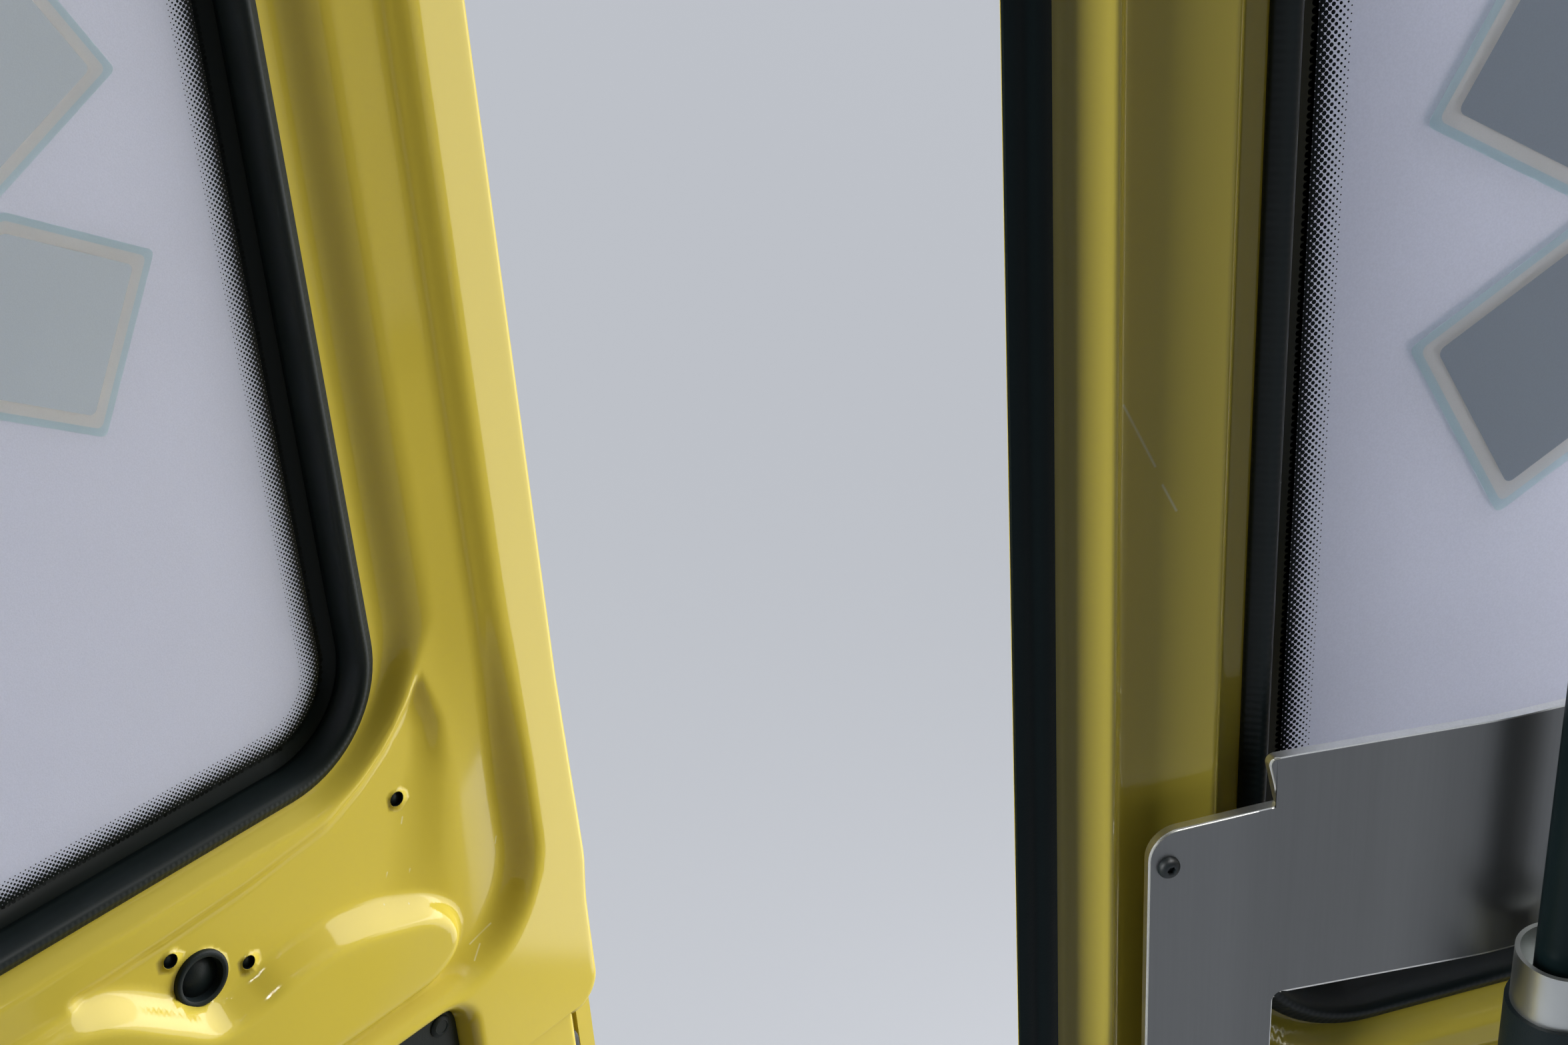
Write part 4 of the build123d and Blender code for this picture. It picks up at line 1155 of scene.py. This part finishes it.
def finishShape(name, shape, side, mats, crease=38):  # a closed bmesh drawn in millimetres
    places = toPart([v.co[:] for v in shape.verts], side)
    for vert, place in zip(shape.verts, places):
        vert.co = place
    bmesh.ops.recalc_face_normals(shape, faces=shape.faces)
    mesh = bpy.data.meshes.new(name)
    shape.to_mesh(mesh)
    shape.free()
    for mat in mats:
        mesh.materials.append(mat)
    mesh.polygons.foreach_set("use_smooth", [True] * len(mesh.polygons))
    return edgeSharp(addObject(name, mesh), crease)


# the passive leaf's free-edge seal, with two soft lips along it

seal = {
    "profile": [(21.8, -22.0), (16.6, -22.0), (15.6, -24.0), (13.9, -27.6), (13.0, -28.0), (12.6, -30.2),
                (9.9, -36.0), (9.0, -36.4), (8.6, -38.6), (6.4, -43.2), (5.6, -44.8), (6.0, -46.1), (7.4, -46.4),
                (10.4, -46.7), (12.0, -46.0), (13.8, -46.0), (15.4, -46.7), (18.4, -46.7), (20.0, -46.3),
                (21.8, -45.6)],
    "ends": (-902.4, 882.4), "endRoll": 1.5, "endSize": 0.9, "runs": 30,
}


def freeEdgeSeal():
    (low, high), roll, runs = seal["ends"], seal["endRoll"], seal["runs"]
    profile = np.array(seal["profile"])
    middle = profile.mean(axis=0)
    end = middle + (profile - middle) * seal["endSize"]
    heights = [low + roll + (high - low - 2 * roll) * k / runs for k in range(runs + 1)]
    rings = [atHeight(end, low)] + [atHeight(profile, z) for z in heights] + [atHeight(end, high)]
    ringPiece("rightFreeEdgeSeal", rings, "right", "black_rubber", "right_edge_seal", crease=50)


freeEdgeSeal()

# guard plate: flat flanges, and a band between them that bends a little inward

guard = {
    "near": [(112.0, -155.0, 4.0), (112.0, -360.0, 0.0), (57.0, -360.0, 12.0), (57.0, -64.0, 12.0),
             (110.0, -64.0, 0.0), (105.0, -42.0, 3.0)],
    "rise": ((57.0, 0.0), (110.0, 0.0), (202.0, 9.0), (394.0, 9.0)),
    "bends": (110.0, 202.0), "soften": 8.0, "thickness": 4.0, "edgeBevel": 0.7, "gap": 0.02,
}


def guardRise(x):  # how far the plate stands off the leaf, rounded at its bends
    x = midX - np.abs(x - midX)
    runs = [np.interp(x + guard["soften"] * k / 8, *zip(*guard["rise"])) for k in range(-8, 9)]
    return sum(runs) / len(runs)


def guardPlate():
    rows = guard["near"] + [(2 * midX - x, z, r) for x, z, r in reversed(guard["near"])]
    shape = bmesh.new()
    shape.faces.new([shape.verts.new((x, 0, z)) for x, z in roundedPath(rows, 9.0)])
    soft = guard["soften"]
    cuts = [bend + soft * k / 3 for bend in guard["bends"] for k in range(-3, 4)]
    for x in cuts + [2 * midX - x for x in cuts]:
        bmesh.ops.bisect_plane(shape, geom=shape.verts[:] + shape.edges[:] + shape.faces[:], plane_co=(x, 0, 0),
                               plane_no=(1, 0, 0))
    made = bmesh.ops.extrude_face_region(shape, geom=shape.faces[:], use_keep_orig=True)["geom"]
    front = {item for item in made if isinstance(item, bmesh.types.BMVert)}
    for vert in shape.verts:
        lift = guard["thickness"] if vert in front else guard["gap"]
        vert.co.y = leaf["face"] - float(guardRise(vert.co.x)) - lift
    for face in shape.faces:
        inFront = [v in front for v in face.verts]
        face.material_index = 0 if all(inFront) or not any(inFront) else 1
    rim = [e for e in shape.edges if all(v in front for v in e.verts)
           and any(f.material_index == 1 for f in e.link_faces)]
    bmesh.ops.bevel(shape, geom=rim, offset=guard["edgeBevel"], segments=2, affect="EDGES", material=1)
    piece = finishShape("rightGuardPlate", shape, "right", [materials["brushed_aluminium"], cutEdge], 30)
    dress(piece, "right", "brushed_aluminium", "right_guard_plate")


guardPlate()
print("seal and guard plate made")

# lower trim panels and blanking caps

lowerPanel = {
    "edges": (106.0, 682.0, -810.0, -382.0), "corner": (17.0, 0.5, 4.0),
    "rings": [(0.0, -30.0), (0.0, -32.6), (0.5, -33.5), (1.6, -34.0), (20.0, -34.0), (21.5, -33.7), (23.5, -32.0),
              (27.0, -32.0), (29.0, -33.6), (31.0, -34.0), (60.0, -34.0)],
}
cap = {
    "centre": (251.0, -273.0),
    "rings": [(5.0, -19.2), (13.4, -19.2), (13.7, -20.0), (13.7, -25.95), (15.9, -26.05), (15.9, -27.6), (15.5, -28.4),
              (14.7, -28.9), (13.4, -29.0), (12.3, -28.4), (11.8, -26.8), (11.3, -22.6), (10.6, -21.7), (5.6, -21.5),
              (5.2, -22.8), (4.4, -23.2)],
}


for side in ("left", "right"):
    rings = rectRings(lowerPanel["edges"], lowerPanel["corner"], lowerPanel["rings"])
    ringPiece(side + "LowerPanel", rings, side, "black_plastic", side + "_lower_panel", crease=25)
    rings = roundRings(cap["centre"], cap["rings"])
    ringPiece(side + "BlankingCap", rings, side, "black_plastic", side + "_blanking_cap", crease=40)

# small fixings: a head is drawn once and set on every point

heads = {  # rows of radius and height in millimetres, True where the outline is the key's hexagon
    "guardScrew": [(4.5, 0.0), (4.5, 0.5), (4.3, 1.5), (3.6, 2.4), (2.6, 2.9), (1.9, 3.0), (1.6, 2.9, True),
                   (1.5, 1.2, True)],
    "plateBolt": [(6.4, 0.0), (6.4, 0.7), (6.0, 1.9), (4.9, 2.6), (3.0, 2.9), (2.3, 2.9, True), (2.2, 1.0, True)],
    "panelClip": [(7.0, 0.0), (7.0, 0.5), (6.4, 1.2), (4.4, 1.7), (4.0, 1.3), (1.5, 1.3)],
}
fixings = {
    "guardScrews": [(x, -50.0, z) for x in (65.0, 723.0) for z in (-80.0, -200.0, -344.0)],
    "padBolts": [(x, 7.0, hinge + rise) for hinge in (-722.0, -10.0, 702.0) for x in (722.0, 754.0)
                 for rise in (-17.0, 17.0)],
    "frameBolts": [(824.0, 7.0, hinge + rise) for hinge in (-722.0, -10.0, 702.0) for rise in (-17.0, 17.0)],
    "panelClips": [(x, -34.0, z) for x in (118.0, 394.0, 670.0) for z in (-798.0, -596.0, -394.0)
                   if (x, z) != (394.0, -596.0)],
}


def headShape(name):
    count = 24
    shape = bpy.data.meshes.new(name)
    around = np.linspace(0, 2 * math.pi, count, endpoint=False)
    hexagon = math.cos(math.pi / 6) / np.cos((around % (math.pi / 3)) - math.pi / 6)
    points = []
    for radius, height, *key in heads[name]:
        reach = radius * (hexagon / hexagon.mean() if key else 1.0) * np.ones(count) / 1000
        level = np.full(count, height / 1000)
        points += np.stack((reach * np.cos(around), reach * np.sin(around), level), axis=1).tolist()
    faces = ringFaces(len(heads[name]), count)
    faces += [tuple(range(len(points) - count, len(points))), tuple(reversed(range(count)))]
    shape.from_pydata(points, [], faces)
    shape.polygons.foreach_set("use_smooth", [True] * len(faces))
    return edgeSharp(addObject(name, shape), 38)


def makeFixTree():  # sets the shape on each point, turned the way the point faces
    tree = bpy.data.node_groups.new("smallFixings", "GeometryNodeTree")
    socket(tree, "Geometry", "INPUT", "Geometry")
    socket(tree, "Shape", "INPUT", "Object")
    socket(tree, "Size", "INPUT", "Float", 1.0)
    socket(tree, "Finish", "INPUT", "Material")
    socket(tree, "Geometry", "OUTPUT", "Geometry")
    wiring = Wiring(tree)
    given = wiring.add("NodeGroupInput", (-800, 0)).outputs
    result = wiring.add("NodeGroupOutput", (900, 0)).inputs
    shape = wiring.add("GeometryNodeObjectInfo", (-500, -100))
    wiring.join(given["Shape"], shape.inputs["Object"])
    facing = wiring.add("GeometryNodeInputNamedAttribute", (-500, -350), data_type="FLOAT_VECTOR", Name="facing")
    turn = wiring.add("FunctionNodeAlignRotationToVector", (-250, -300), axis="Z")
    wiring.join(facing.outputs["Attribute"], turn.inputs["Vector"])
    spread = wiring.add("GeometryNodeInstanceOnPoints", (50, 0))
    wiring.join(given["Geometry"], spread.inputs["Points"])
    wiring.join(shape.outputs["Geometry"], spread.inputs["Instance"])
    wiring.join(turn.outputs["Rotation"], spread.inputs["Rotation"])
    wiring.join(given["Size"], spread.inputs["Scale"])
    endTree(wiring, spread, given["Finish"], result)
    return tree


fixTree = makeFixTree()


def placeFixings(name, points, facing, shape, side, slot, *nodes):  # one shape on each point
    seeds = bpy.data.meshes.new(name + "Points")
    seeds.from_pydata(toPart(points, side).tolist(), [], [])
    layer = seeds.attributes.new("facing", "FLOAT_VECTOR", "POINT")
    layer.data.foreach_set("vector", list(turnToPart(facing, side)) * len(points))
    mesh = growTree(name, fixTree, {"Shape": shape, "Size": 1.0, "Finish": materials[slot]}, seeds)
    dress(addObject(name, mesh), side, slot, *nodes)


inward, outward, upward, towardsDoorway = (0, -1, 0), (0, 1, 0), (0, 0, 1), (-1, 0, 0)
screwShape, boltShape, clipShape = (headShape(name) for name in ("guardScrew", "plateBolt", "panelClip"))
placeFixings("rightGuardScrews", fixings["guardScrews"], inward, screwShape, "right", "dark_screw",
             "right_guard_screws")
for side in ("left", "right"):
    placeFixings(side + "PadBolts", fixings["padBolts"], outward, boltShape, side, "pin_steel")
    placeFixings(side + "PanelClips", fixings["panelClips"], inward, clipShape, side, "black_plastic")
frameBolts = fixings["frameBolts"] + [(-x, y, z) for x, y, z in fixings["frameBolts"]]
placeFixings("frameHingeBolts", frameBolts, outward, boltShape, "frame", "pin_steel")
print("panels, caps and fixings made")

# sill tread's raised ribs

tread = {
    "length": 1440.0, "first": -114.0, "pitch": 5.2, "count": 9, "top": -887.02,
    "halfWidth": 1.0, "ribHeight": 0.9,
    "profile": [(-1.0, 0.0), (1.0, 0.0), (0.7, 0.75), (0.35, 1.0), (-0.35, 1.0), (-0.7, 0.75)],  # in shares of these
}


def treadRibs():
    section = np.array(tread["profile"]) * (tread["halfWidth"], tread["ribHeight"])
    half = tread["length"] / 2
    rings = [atReach(section, x) for x in (-half, 0.0, half)]
    bar = joinRings("treadRib", rings, "frame", [materials["tread_aluminium"]])
    for vert in bar.data.vertices:  # drawn about its own middle
        vert.co.y -= leaf["setBack"] / 1000
    points = [(0.0, tread["first"] + tread["pitch"] * k, tread["top"]) for k in range(tread["count"])]
    placeFixings("sillTreadRibs", points, upward, bar, "frame", "tread_aluminium")
    bpy.data.objects.remove(bar)


treadRibs()

# lock unit in the active leaf's free edge: plate, claw opening with its claw, and two bolts

lock = {
    "plate": (-33.8, -8.2, -648.8, -469.2), "radius": 4.8, "face": 17.0, "back": 25.0, "rim": 0.9,
    "mouth": (-29.5, -13.5, -584.0, -536.0), "mouthRadius": 5.0,
    "mouthRings": [(2.2, 17.0), (1.6, 17.0), (0.4, 17.7), (0.0, 19.0), (0.0, 23.6)],  # grown by, and where along x
    "claw": [(-28.5, -572.0, 1.0), (-17.0, -572.0, 3.0), (-15.0, -565.0, 2.0), (-24.0, -564.0, 1.5),
             (-24.5, -557.0, 1.5), (-15.0, -556.0, 2.0), (-17.0, -549.0, 3.0), (-28.5, -548.0, 1.0)],
    "clawReach": (18.6, 22.0), "clawRoll": 0.5, "clawEnd": 0.96,
    "bolts": [(16.95, -21.0, -497.0), (16.95, -21.0, -621.0)],
}


def lockUnit():
    y0, y1, z0, z1 = lock["plate"]
    rim, face = lock["rim"], lock["face"]
    rings = []
    for inset, x in ((0, lock["back"]), (0, face + rim), (rim * 0.3, face + rim * 0.3), (rim, face)):
        outline = rectRows(y0 + inset, y1 - inset, z0 + inset, z1 - inset, lock["radius"] - inset)
        rings.append(atReach(roundedPath(outline, 10.0), x))
    y0, y1, z0, z1 = lock["mouth"]
    for grow, x in lock["mouthRings"]:
        outline = rectRows(y0 - grow, y1 + grow, z0 - grow, z1 + grow, lock["mouthRadius"])
        rings.append(atReach(roundedPath(outline, 10.0), x))
    metal, inside = (0,) * 6, (1,) * 2  # the mouth's walls are black
    ringPiece("leftLockUnit", rings, "left", "black_plastic", "left_lock_unit",
              mats=[materials["dark_screw"], blackPlastic], slots=metal + inside)
    claw = roundedPath(lock["claw"], 15.0)
    near, far = lock["clawReach"]
    middle = claw.mean(axis=0)
    end = middle + (claw - middle) * lock["clawEnd"]
    rings = [atReach(claw, far), atReach(claw, near + lock["clawRoll"]), atReach(end, near)]
    ringPiece("leftLockClaw", rings, "left", "dark_screw")
    placeFixings("leftLockBolts", lock["bolts"], towardsDoorway, screwShape, "left", "dark_screw")


lockUnit()

# outer handle: a bowed grip on a bezel with its key barrel

handle = {
    "line": [(43.0, 3.0), (43.5, 14.0), (47.0, 24.0), (58.0, 30.5), (75.0, 31.8), (110.0, 32.0), (145.0, 31.8),
             (162.0, 30.5), (173.0, 24.0), (176.5, 14.0), (177.0, 3.0)],
    "height": -499.0, "halfHeight": 16.6, "halfThickness": 7.6, "taper": 0.22, "squareness": 0.55, "sides": 28,
    "bezel": (19.2, 200.8, -531.8, -466.2), "bezelCorner": (12.0, 0.6, 3.0),
    "bezelRings": [(0.0, 0.05), (0.0, 2.6), (0.5, 3.5), (1.6, 3.9), (7.0, 3.9), (8.6, 3.2), (11.0, 1.6), (14.0, 1.2)],
    "barrel": [(9.0, 1.0), (9.0, 5.6), (8.4, 6.4), (7.2, 6.5), (6.6, 5.9), (6.2, 5.8)],
    "keyway": (108.9, 111.1, -503.5, -494.5), "keywayLevels": (5.7, 5.86),
}


def squared(values):  # a circle's sine or cosine, drawn out towards a square
    return np.sign(values) * np.abs(values) ** handle["squareness"]


def outerHandle():
    line = smoothLine(handle["line"], 4.0)
    ahead = np.gradient(line, axis=0)
    ahead /= np.linalg.norm(ahead, axis=1)[:, None]
    around = np.linspace(0, 2 * math.pi, handle["sides"], endpoint=False)
    across, up = squared(np.cos(around)), squared(np.sin(around))
    thick = handle["halfThickness"]
    rings = []
    for k, ((x, y), (tx, ty)) in enumerate(zip(line, ahead)):
        share = abs(2 * k / (len(line) - 1) - 1)
        tall = handle["halfHeight"] * (1 - handle["taper"] * share ** 3)
        rings.append(np.stack((x - ty * thick * across, y + tx * thick * across, handle["height"] + tall * up), axis=1))
    ringPiece("leftOuterHandle", rings, "left", "black_plastic", "left_outer_handle")
    rings = rectRings(handle["bezel"], handle["bezelCorner"], handle["bezelRings"])
    ringPiece("leftHandleBezel", rings, "left", "black_plastic", "left_handle_bezel", crease=30)
    centre = (sum(handle["bezel"][:2]) / 2, handle["height"])
    ringPiece("leftKeyBarrel", roundRings(centre, handle["barrel"], 36), "left", "pin_steel")
    slot = roundedPath(rectRows(*handle["keyway"], 1.0), 30.0)
    ringPiece("leftKeyway", [atLevel(slot, y) for y in handle["keywayLevels"]], "left", "black_plastic")


outerHandle()
for shape in (screwShape, boltShape, clipShape):
    bpy.data.objects.remove(shape)
print("lock, handle and tread made")
